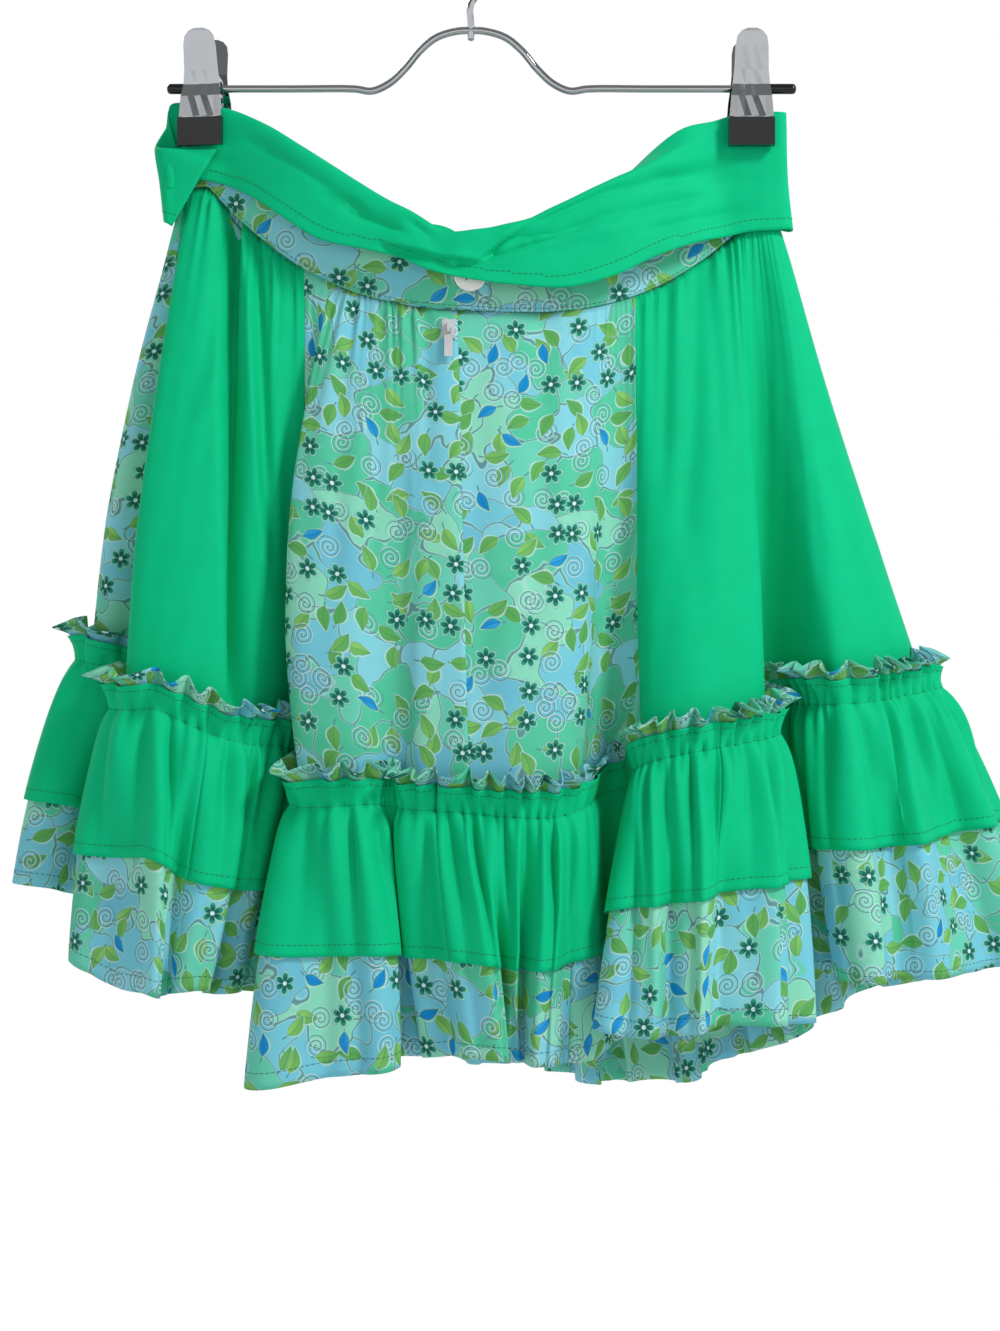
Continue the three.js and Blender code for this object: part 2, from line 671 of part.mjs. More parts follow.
/** The turns of the waistband's columns, even ones between its two ends. */
function bandTurns() {
  const turns = [BAND.underTurn];
  const first = (Math.ceil(BAND.underTurn / BAND.step) + 1) * BAND.step;
  for (let turn = first; turn < BAND.overTurn - BAND.leastStep; turn += BAND.step) turns.push(turn);
  return [...turns, BAND.overTurn];
}

function buildWaistband() {
  const turns = bandTurns();
  const lapStart = BAND.underTurn + 360 - BAND.lap;
  const face = (distance) =>
    turns.map((turn) => {
      const { up, out } = waistFrame(turn);
      const lift = BAND.lift * clamp((turn - lapStart) / BAND.lap, 0, 1);
      const low = waistPoint(turn).addScaledVector(out, distance + lift);
      return [low.clone().addScaledVector(up, BAND.height), low];
    });
  addPiece("waistband", wallGeometry(face(BAND.wall / 2), face(-BAND.wall / 2), false), "print");
}

function buildButton() {
  const shape = new THREE.Shape(roundOutline(0, 0, BUTTON.radius - BUTTON.bevel, BUTTON.sides));
  for (const [right, up] of [[-1, -1], [-1, 1], [1, -1], [1, 1]]) {
    const [x, y] = [right * BUTTON.holeOffset, up * BUTTON.holeOffset];
    shape.holes.push(new THREE.Path(roundOutline(x, y, BUTTON.holeRadius, BUTTON.holeSides)));
  }
  const geometry = new THREE.ExtrudeGeometry(shape, {
    depth: BUTTON.thick - 2 * BUTTON.bevel,
    bevelSize: BUTTON.bevel,
    bevelThickness: BUTTON.bevel,
    bevelSegments: 1,
  });
  const mesh = addPiece("button", geometry, "button");
  const face = waistDepth(BUTTON.x) + BAND.lift + BAND.wall / 2 + SEAM_GAP + BUTTON.thick;
  mesh.rotation.x = Math.PI / 2;
  mesh.position.set(BUTTON.x, -face + BUTTON.thick - BUTTON.bevel, BUTTON.z);
}

// ---------------------------------------------------------------- sash

/** The far strand of the sash, set off from the waist ring and shallower at the tips. */
function sashFarRows() {
  const rows = [];
  for (let i = 0; i <= SASH_FAR.rows; i++) {
    const share = i / SASH_FAR.rows;
    const { x, z } = waistPoint(lerp(SASH_FAR.from, SASH_FAR.to, share));
    const opened = clamp((waistDepth(x) - WAIST.pinch) / SASH_FAR.ease, 0, 1);
    const clearance = lerp(SASH_FAR.pinched, SASH_FAR.clearance, opened);
    const low = z - lerp(SASH_FAR.rightDrop, SASH_FAR.leftDrop, share);
    rows.push([x, low, x, low + SASH.width - SASH.least, -waistDepth(x) - clearance, 0]);
  }
  return rows;
}

/**
 * One cross-section of the sash, from its turned-back upper edge down to its lower edge.
 * Where the part behind would hang below the lower edge, its end turns up again between the two layers.
 */
function sashSection([lowX, lowZ, topX, topZ, out, roll], outward) {
  const low = new THREE.Vector3(lowX, -out + twistShift(lowX), lowZ);
  const top = new THREE.Vector3(topX, -out + twistShift(topX), topZ);
  const front = low.distanceTo(top);
  const up = top.clone().sub(low).normalize();
  const inward = outward.clone().negate();
  const fold = (1 - Math.cos(rad(roll))) / 2;
  const gap = SASH.tuck + SASH.tuckOpen * Math.max(0, Math.abs(out) - SASH.tuckStart);
  const crease = top.clone().addScaledVector(up, SASH.crease * (1 - fold)).addScaledVector(inward, gap * fold);
  const leaf = Math.max(SASH.width - front, SASH.least) - SASH.crease;
  const behind = Math.min(leaf, front - SASH.hidden);
  const turnedUp = leaf - behind;
  const onLeaf = (length) =>
    crease
      .clone()
      .addScaledVector(up, length * Math.cos(rad(roll)))
      .addScaledVector(inward, length * Math.sin(rad(roll)));
  const middle = top.clone().lerp(low, 0.5);
  const upper = [crease, top, middle, low.addScaledVector(outward, SASH.flare * (1 - fold))];
  if (turnedUp === 0) return [onLeaf(leaf), ...LEAF_SHARES.map((share) => onLeaf(leaf * share)), ...upper];
  const innerTurn = onLeaf(behind).addScaledVector(outward, gap / 2);
  return [innerTurn.clone().addScaledVector(up, turnedUp), innerTurn, onLeaf(behind), ...upper];
}

function buildSash() {
  const rows = [...SASH_NEAR, ...SASH_TURN, ...sashFarRows(), ...SASH_END];
  const centres = rows.map(([lowX, , , , out]) => new THREE.Vector3(lowX, -out + twistShift(lowX), 0));
  const grid = rows.map((row, i) => {
    const before = centres[Math.max(0, i - 1)];
    const after = centres[Math.min(rows.length - 1, i + 1)];
    const along = after.clone().sub(before).normalize();
    return sashSection(row, new THREE.Vector3(along.y, -along.x, 0));
  });
  addPiece("sash", evenWall(grid, SASH.wall), "green");
}

// ---------------------------------------------------------------- solid pieces by joining and cutting

const MERGE_DISTANCE = 1e-3; // points of one solid nearer than this are one point

/** The geometry as a solid that can be joined or cut. */
function solid(geometry) {
  const plain = new THREE.BufferGeometry();
  plain.setAttribute("position", geometry.getAttribute("position"));
  if (geometry.index) plain.setIndex(geometry.index);
  const merged = mergeVertices(plain, MERGE_DISTANCE);
  return new wasm.Manifold(
    new wasm.Mesh({
      numProp: 3,
      vertProperties: new Float32Array(merged.attributes.position.array),
      triVerts: new Uint32Array(merged.index.array),
    }),
  );
}

/** A solid's surface as a geometry again. */
function surface(body) {
  const mesh = body.getMesh();
  const geometry = new THREE.BufferGeometry();
  geometry.setAttribute("position", new THREE.Float32BufferAttribute(mesh.vertProperties, 3));
  geometry.setIndex([...mesh.triVerts]);
  const flat = geometry.toNonIndexed();
  flat.computeVertexNormals();
  return flat;
}

/** A box from one corner to the other. */
function boxBetween(from, to) {
  const size = to.clone().sub(from);
  const middle = from.clone().add(to).multiplyScalar(0.5);
  return new THREE.BoxGeometry(size.x, size.y, size.z).translate(middle.x, middle.y, middle.z);
}

/** The corners of a regular polygon, for a round outline or hole. */
function roundOutline(x, y, radius, sides) {
  return Array.from({ length: sides }, (_, k) => {
    const angle = (2 * Math.PI * k) / sides;
    return new THREE.Vector2(x + radius * Math.cos(angle), y + radius * Math.sin(angle));
  });
}

// ---------------------------------------------------------------- zip

function buildZipTape() {
  const middle = placeOf("seam_zip");
  const places = [-1, -0.5, 0, 0.5, 1].map((side) => middle + side * ZIP.tapeHalf);
  const levels = GORE_LEVELS.slice(0, -1).map((share) => Math.max(share, ZIP.from));
  const face = (distance) => places.map((place) => levels.map((share) => goreSurface(place, share, distance)));
  addPiece("zip_tape", wallGeometry(face(-ZIP.tapeIn), face(-ZIP.tapeIn - ZIP.tapeWall), false), "tape");
}

/** The slider with its bridge, and the pull tab that hangs from the bridge. */
function buildSlider() {
  const seat = goreSurface(placeOf("seam_zip"), ZIP.sliderShare, 0);
  const group = new THREE.Group();
  group.position.copy(seat);
  group.rotation.x = -rad(ZIP.lean);
  skirt.add(group);

  const back = -SEAM_GAP;
  const front = back - SLIDER.thick;
  const body = boxBetween(
    new THREE.Vector3(-SLIDER.width / 2, front, -SLIDER.length / 2),
    new THREE.Vector3(SLIDER.width / 2, back, SLIDER.length / 2),
  );
  const bridge = boxBetween(
    new THREE.Vector3(-SLIDER.bridgeWide / 2, front - SLIDER.bridgeHigh, -SLIDER.bridgeLong / 2),
    new THREE.Vector3(SLIDER.bridgeWide / 2, front + SLIDER.root, SLIDER.bridgeLong / 2),
  );
  const eyeHalf = SLIDER.bridgeLong / 2 - SLIDER.wire;
  const eye = boxBetween(
    new THREE.Vector3(-SLIDER.bridgeWide, front - SLIDER.bridgeHigh + SLIDER.wire, -eyeHalf),
    new THREE.Vector3(SLIDER.bridgeWide, front, eyeHalf),
  );
  addPiece("zip_slider", surface(solid(body).add(solid(bridge).subtract(solid(eye)))), "zipMetal", group);

  const pinY = front - (SLIDER.bridgeHigh - SLIDER.wire) / 2;
  const pin = new THREE.CylinderGeometry(PULL.pin, PULL.pin, 2 * PULL.reach, 10).rotateZ(Math.PI / 2);
  const arms = [-1, 1].map((side) =>
    boxBetween(
      new THREE.Vector3(side * PULL.reach - PULL.arm / 2, -PULL.thick / 2, -PULL.neck - PULL.root),
      new THREE.Vector3(side * PULL.reach + PULL.arm / 2, PULL.thick / 2, PULL.pin),
    ),
  );
  const plate = boxBetween(
    new THREE.Vector3(-PULL.width / 2, -PULL.thick / 2, -PULL.length),
    new THREE.Vector3(PULL.width / 2, PULL.thick / 2, -PULL.neck),
  );
  const tab = surface(solid(pin).add(solid(arms[0])).add(solid(arms[1])).add(solid(plate)));
  addPiece("zip_pull", tab, "zipMetal", group).position.set(0, pinY, 0);
}

// ---------------------------------------------------------------- hanger

/** The bar with its hump, and a boss on top of the hump that is bored for the hook's stem. */
function buildHangerWire() {
  const top = new THREE.Vector3(0, 0, BAR.z + HUMP_TOP);
  const left = HUMP.map(([run, rise]) => new THREE.Vector3(-run, 0, BAR.z + rise));
  const right = [...HUMP].reverse().map(([run, rise]) => new THREE.Vector3(run, 0, BAR.z + rise));
  const hump = new THREE.CatmullRomCurve3([...left, top, ...right]).getPoints(HUMP_STEPS);
  const points = [new THREE.Vector3(BAR.left, 0, BAR.z), ...hump, new THREE.Vector3(BAR.right, 0, BAR.z)];
  const upright = (radius, length) =>
    new THREE.CylinderGeometry(radius, radius, length, ROUND_SIDES).rotateX(Math.PI / 2).translate(...top);
  const boss = solid(upright(HOOK.wire + BOSS.wall, BOSS.thick));
  const bore = solid(upright(HOOK.wire + SEAM_GAP, BOSS.boreLength));
  const wire = solid(sweep(points, WIRE_RADIUS, WIRE_SIDES));
  addPiece("hanger_wire", surface(wire.add(boss).subtract(bore)), "chrome");
}

/** A round bar through points that lie in one upright plane. */
function sweep(points, radius, sides) {
  const rings = points.map((point, i) => {
    const before = points[Math.max(0, i - 1)];
    const after = points[Math.min(points.length - 1, i + 1)];
    const along = after.clone().sub(before).normalize();
    const lift = new THREE.Vector3(-along.z, 0, along.x);
    return Array.from({ length: sides }, (_, k) => {
      const angle = (2 * Math.PI * (k + 0.5)) / sides;
      return point
        .clone()
        .addScaledVector(lift, radius * Math.sin(angle))
        .add(new THREE.Vector3(0, radius * Math.cos(angle), 0));
    });
  });
  const positions = [points[0], points[points.length - 1], ...rings.flat()].flatMap((p) => [p.x, p.y, p.z]);
  const at = (ring, k) => 2 + ring * sides + (k % sides);
  const faces = [];
  for (let k = 0; k < sides; k++) {
    faces.push(0, at(0, k + 1), at(0, k));
    faces.push(1, at(rings.length - 1, k), at(rings.length - 1, k + 1));
    for (let ring = 0; ring + 1 < rings.length; ring++) {
      faces.push(at(ring, k), at(ring + 1, k + 1), at(ring + 1, k));
      faces.push(at(ring, k), at(ring, k + 1), at(ring + 1, k + 1));
    }
  }
  const geometry = new THREE.BufferGeometry();
  geometry.setAttribute("position", new THREE.Float32BufferAttribute(positions, 3));
  geometry.setIndex(faces);
  geometry.computeVertexNormals();
  return geometry;
}

function buildHook() {
  const points = [new THREE.Vector3(0, 0, HOOK.bottom), new THREE.Vector3(0, 0, HOOK.neck)];
  const centreZ = HOOK.wire - HOOK.radius;
  for (let i = 0; i <= HOOK.steps; i++) {
    const angle = rad(lerp(HOOK.neckTurn, HOOK.tipTurn, i / HOOK.steps));
    points.push(new THREE.Vector3(HOOK.radius * Math.cos(angle), 0, centreZ + HOOK.radius * Math.sin(angle)));
  }
  addPiece("hanger_hook", sweep(points, HOOK.wire, WIRE_SIDES), "chrome");
}

/** A black end sleeve: closed at the tip, bored for the wire. */
function buildSleeve(name, inner, tip) {
  const length = Math.abs(tip - inner);
  const profile = [
    [0, length + SLEEVE.wall],
    [SLEEVE.radius, length + SLEEVE.wall - SLEEVE.bevel],
    [SLEEVE.radius, 0],
    [SLEEVE.bore, 0],
    [SLEEVE.bore, length + SEAM_GAP],
    [0, length + SEAM_GAP],
  ].map(([x, y]) => new THREE.Vector2(x, y));
  const geometry = new THREE.LatheGeometry(profile.reverse(), ROUND_SIDES);
  const mesh = addPiece(name, geometry, "rubber");
  mesh.rotation.z = tip < inner ? Math.PI / 2 : -Math.PI / 2;
  mesh.position.set(inner, 0, BAR.z);
}

/** One stamped plate with its two ears, facing -Y, about the bar's axis. */
function plateGeometry(earX) {
  const rows = PLATE_ROWS.map((row) => [...row]);
  rows.push([PAD.topZ + SEAM_GAP, PLATE.tongueHalf, PLATE.tongueOut, 0]);
  rows.push([PLATE.tongueZ, PLATE.tongueHalf, PLATE.tongueOut, 0]);
  const grid = PLATE_COLUMNS.map((side) => {
    const fluted = Math.abs(side) < PLATE.fluteReach ? Math.abs(Math.sin(1.5 * Math.PI * side)) : 0;
    return rows.map(
      ([z, half, out, flute]) =>
        new THREE.Vector3(side * half, -out + PLATE.fluteDepth * flute * fluted, z - BAR.z),
    );
  });
  const lug = new THREE.Shape(EAR_ROOT.map(([out, rise]) => new THREE.Vector2(out, rise)));
  lug.absarc(0, 0, EAR.radius, -rad(EAR.roundTo), rad(EAR.roundTo), true);
  lug.closePath();
  lug.holes.push(new THREE.Path(roundOutline(0, 0, EAR.hole, ROUND_SIDES)));
  const ears = [-1, 1].map((side) =>
    new THREE.ExtrudeGeometry(lug, { depth: EAR.wall, bevelEnabled: false, curveSegments: ROUND_SIDES / 2 })
      .rotateX(Math.PI / 2)
      .rotateZ(-Math.PI / 2)
      .translate(side * earX + EAR.wall / 2, 0, 0),
  );
  return surface(solid(evenWall(grid, PLATE.wall)).add(solid(ears[0])).add(solid(ears[1])));
}

/** A rubber jaw pad with the slot that the plate's tongue sits in. */
function padGeometry(inner) {
  const block = boxBetween(
    new THREE.Vector3(-PAD.half, -PAD.outer, PAD.bottomZ - BAR.z),
    new THREE.Vector3(PAD.half, -inner, PAD.topZ - BAR.z),
  );
  const half = PLATE.tongueHalf + PAD.slotPlay;
  const slotHalf = PLATE.wall / 2 + PAD.slotPlay;
  const slot = boxBetween(
    new THREE.Vector3(-half, -PLATE.tongueOut - slotHalf, PLATE.tongueZ - PAD.slotPlay - BAR.z),
    new THREE.Vector3(half, -PLATE.tongueOut + slotHalf, PAD.topZ + PAD.slotOver - BAR.z),
  );
  return surface(solid(block).subtract(solid(slot)));
}

class Helix extends THREE.Curve {
  getPoint(t, target = new THREE.Vector3()) {
    const angle = 2 * Math.PI * SPRING.turns * t;
    return target.set(
      lerp(-SPRING.half, SPRING.half, t),
      SPRING.radius * Math.cos(angle),
      SPRING.radius * Math.sin(angle),
    );
  }
}

function buildClip(side, x, twist) {
  const clip = new THREE.Group();
  clip.position.set(x, 0, BAR.z);
  clip.rotation.z = -rad(twist);
  skirt.add(clip);
  for (const [face, turn, earX] of [["near", 0, EAR.outer], ["far", Math.PI, EAR.inner]]) {
    addPiece(`clip_${side}_${face}_plate`, plateGeometry(earX), "chrome", clip).rotation.z = turn;
    const pad = padGeometry(PAD_INNER[`${side}_${face}`]);
    addPiece(`clip_${side}_${face}_jaw`, pad, "rubber", clip).rotation.z = turn;
  }
  const shape = new THREE.Shape(roundOutline(0, 0, SPRING.wire, SPRING.sides));
  const coil = new THREE.ExtrudeGeometry(shape, {
    steps: SPRING.steps,
    bevelEnabled: false,
    extrudePath: new Helix(),
  });
  addPiece(`clip_${side}_spring`, coil, "chrome", clip);
}

// ---------------------------------------------------------------- the whole

buildGores();
buildFlounces();
buildWaistband();
buildButton();
buildSash();
buildZipTape();
buildSlider();
buildHangerWire();
buildHook();
buildSleeve("hanger_sleeve_left", SLEEVE.leftInner, BAR.left);
buildSleeve("hanger_sleeve_right", SLEEVE.rightInner, BAR.right);
buildClip("left", CLIP_LEFT_X, CLIP_LEFT_TWIST);
buildClip("right", CLIP_RIGHT_X, 0);

export default skirt;
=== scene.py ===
"""Looks of a square dance skirt on its clip hanger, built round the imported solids.

The tables are in millimetres, in the frame of the solids: +Z up, the skirt's back toward -Y, the origin at
the inside top of the hanger's hook.  Meshes are made in metres.
"""

import json
import logging
import math
from dataclasses import dataclass, field
from enum import Enum
from typing import Callable, Union

import bpy
import numpy as np
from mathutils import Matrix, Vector

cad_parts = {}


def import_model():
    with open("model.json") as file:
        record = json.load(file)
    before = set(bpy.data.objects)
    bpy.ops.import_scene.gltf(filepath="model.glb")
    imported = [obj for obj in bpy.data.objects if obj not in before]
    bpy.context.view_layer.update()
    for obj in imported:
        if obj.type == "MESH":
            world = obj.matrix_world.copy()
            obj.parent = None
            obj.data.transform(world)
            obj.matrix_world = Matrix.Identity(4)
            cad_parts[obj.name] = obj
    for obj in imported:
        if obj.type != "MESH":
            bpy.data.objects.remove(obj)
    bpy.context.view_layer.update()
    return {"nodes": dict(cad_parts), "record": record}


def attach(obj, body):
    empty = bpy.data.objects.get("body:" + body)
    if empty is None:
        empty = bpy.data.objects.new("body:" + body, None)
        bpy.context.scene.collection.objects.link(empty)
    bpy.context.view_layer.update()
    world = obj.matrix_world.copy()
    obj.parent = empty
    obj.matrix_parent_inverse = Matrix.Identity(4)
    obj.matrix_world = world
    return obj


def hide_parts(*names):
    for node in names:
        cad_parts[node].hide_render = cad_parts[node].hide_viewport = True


LOG = logging.getLogger("skirt")
MM = 0.001
GARMENT = "garment"


class Cloth(Enum):
    """The two cloths the skirt is sewn from."""

    GREEN = "green_cloth"
    PRINT = "print_cloth"


# ---------------------------------------------------------------- the form of the skirt

CLIP_LEFT_X = -149.7
CLIP_LEFT_TWIST = 10.0
TWIST_REACH = 45.0
BAR_Z = -95.0

FOLD_KEYS = ("turn", "hang", "foot_x", "foot_out", "hem_x", "hem_out", "fall", "belly", "gather", "ruffle")
NEAR_FOLDS = (
    # name, turn, hang, foot_x, foot_out, hem_x, hem_out, fall, belly, gather, ruffle
    ("left_side", -6, 272, -219, -4, -254, 0, 129, -9, 0.3, 0.9),
    ("left_print", 1, 273, -208, 18, -236, 22, 128, -6, 0.2, 0.8),
    ("left_valley", 5, 280, -190, 1, -214, 4, 124, 0, 0.3, 0.2),
    ("left_turn", 9, 286, -171, 13, -192, 18, 124, 0, 0.3, 0.1),
    ("left_fold", 14, 299, -197, 46, -216, 52, 140, -5, 0.5, 0.8),
    ("left_a", 21.6, 300, -173, 60, -177, 70, 154, -4, 0.7, 1),
    ("left_b", 32, 294, -154, 62, -167, 66, 149, -3, 1, 1),
    ("left_c", 39, 290, -133, 58, -153, 68, 135, 0, 1, 1),
    ("left_d", 44, 283, -121, 44, -144, 54, 138, 0, 1, 1),
    ("left_e", 50, 272, -107, 33, -128, 52, 136, 0, 1, 0.6),
    ("seam_left_back", 54, 275, -92, 9, -112, 24, 132, 0, 0.5, 0),
    ("back_valley", 57.5, 279, -70, 18, -90, 36, 136, -4, 0.3, 0),
    ("back_fold", 61, 291, -97, 58, -121, 82, 156, -18, 0.5, 0.5),
    ("back_a", 64, 290, -77, 72, -81, 98, 144, -12, 1, 1),
    ("back_b", 68, 284, -56, 76, -46, 92, 143, -6, 1, 1),
    ("groove_left", 71, 282, -49, 67, -42, 76, 134, -2, 1, 0.5),
    ("groove_right", 74, 280, -36, 67, -21, 76, 135, 2, 1, 0.5),
    ("back_c", 77, 281, -29, 77, -14, 94, 132, 2, 1, 1),
    ("seam_zip", 83, 280, -4.5, 80, 11, 102, 131, 0, 0.2, 1),
    ("back_d", 97, 281, 24, 84, 22, 90, 130, 0, 0.1, 1),
    ("back_e", 107, 283, 48, 78, 48, 98, 131, 0, 0.1, 1),
    ("back_f", 111.5, 277, 62, 67, 62, 88, 137, 0, 0.2, 0.3),
    ("step", 114, 274, 64, 46, 76, 70, 134, 0, 0.4, 0),
    ("recess", 116.4, 272, 75, 31, 94, 72, 134, 0, 0.4, 0),
    ("recess_turn", 118.5, 272, 88, 33, 106, 90, 136, 0, 0.5, 0),
    ("seam_back_right", 120.6, 272, 93, 47, 66, 113, 142, 0, 0.6, 0),
    ("right_a", 124.7, 269, 94, 64, 79, 125, 152, 0, 1, 0.6),
    ("right_b", 134.6, 278, 118, 74, 116, 108, 150, 0, 1, 1),
    ("right_c", 144.5, 286, 146, 64, 141, 112, 153, 0, 1, 1),
    ("right_fold", 149, 285, 168, 47, 183, 82, 159, 0, 1, 0.8),
    ("right_valley", 152, 279, 150, 24, 164, 44, 157, 0, 0.8, 0.1),
    ("right_turn", 155, 278, 164, 6, 178, 22, 150, 0, 0.8, 0.1),
    ("right_d", 158, 277, 185, 18, 197, 40, 146, 0, 0.6, 0.6),
    ("right_e", 161.5, 281, 200, 42, 216, 70, 154, 0, 0.5, 1),
    ("right_f", 165.5, 281, 220, 36, 234, 56, 152, 0, 0.4, 1),
    ("right_g", 170.2, 280, 245, 18, 293, 30, 160, -3, 0.3, 1),
    ("right_side", 176.7, 281, 264, -6, 320, -8, 160, -6, 0.2, 1),
)


@dataclass(frozen=True)
class WaistSizes:
    """The waist seam: pinched flat at the clips, sagging and open between them."""

    centre_x: float = 6
    half_width: float = 168
    half_span: float = 154
    pinch: float = 3.2
    opening: float = 28.8
    left_z: float = -151
    right_z: float = -166
    near_sag: float = 66
    far_sag: float = 80
    sag_power: float = 2.6
    turnback: float = 0.12


@dataclass(frozen=True)
class FarSizes:
    """The even folds of the far half."""

    folds: int = 17
    foot_depth: float = 48
    hem_depth: float = 62
    fold_depth: float = 12
    hem_fold_depth: float = 18
    hang: float = 282
    left_hang: float = 274
    fall: float = 140
    gather: float = 0.8
    roundness: float = 0.6
    fold_rise: float = 2
    fold_start: float = 0.6
    right_length: float = 15


@dataclass(frozen=True)
class FlounceSizes:
    """The two gathered flounces on one gather line."""

    print_lift: float = 1.1
    green_lift: float = 3.8
    print_header: float = 26
    green_header: float = 15
    green_fall: float = 80
    header_flare: float = 2
    bell: float = 4
    wave_pitch: float = 16
    closeness: float = 0.35
    solid_lift: float = 3.1


WAIST = WaistSizes()
FAR = FarSizes()
FLOUNCE = FlounceSizes()
SHARPNESS = 9
BEND_STEP = 0.2
OPEN_RADIUS = 1e6
GORE_BULGE = 7.0
GORE_SEAT = 2.2
GORE_SEAT_FROM = 0.7
GORE_TAIL = 0.03

GORES = (
    # node, from, to, cloth
    ("panel_green_left", "left_valley", "seam_left_back", Cloth.GREEN),
    ("panel_back_left", "seam_left_back", "seam_zip", Cloth.PRINT),
    ("panel_back_right", "seam_zip", "seam_back_right", Cloth.PRINT),
    ("panel_green_right", "seam_back_right", 2, Cloth.GREEN),
    ("panel_print_right", 2, 7, Cloth.PRINT),
    ("panel_green_front", 7, 12, Cloth.GREEN),
    ("panel_print_left", 12, "left_valley", Cloth.PRINT),
)
STRIP_JOINS = {
    Cloth.PRINT: (("left_e", 0.5), ("back_e", 0.4), ("right_c", 0.5), (3, 0), (8, 0), (14, 0)),
    Cloth.GREEN: (("left_b", 0.5), ("back_c", 0.5), ("right_b", 0.5), (2, 0), (7, 0), (13, 0)),
}


def unit(vectors: np.ndarray) -> np.ndarray:
    """Vectors of length one."""
    return vectors / np.maximum(np.linalg.norm(vectors, axis=-1, keepdims=True), 1e-9)


def smooth_step(value: np.ndarray, low: float, high: float) -> np.ndarray:
    """0 below low, 1 above high, and a smooth rise between them.

    Args:
        value: where to read it.
        low, high: where the rise starts and ends.

    Returns:
        The share at each value.
    """
    share = np.clip((value - low) / (high - low), 0, 1)
    return share * share * (3 - 2 * share)


def ripple(value: np.ndarray, seed: float) -> np.ndarray:
    """An uneven wave between about -1 and 1 that never quite repeats.

    Args:
        value: where to read it; one unit is about one wave.
        seed: shifts its parts against each other.

    Returns:
        The wave's height at each value.
    """
    turn = 2 * np.pi
    return (
        0.5 * np.sin(turn * (0.61 * value + 0.37 * seed))
        + 0.3 * np.sin(turn * (1.13 * value + 0.71 * seed))
        + 0.2 * np.sin(turn * (1.87 * value + 1.39 * seed))
    )


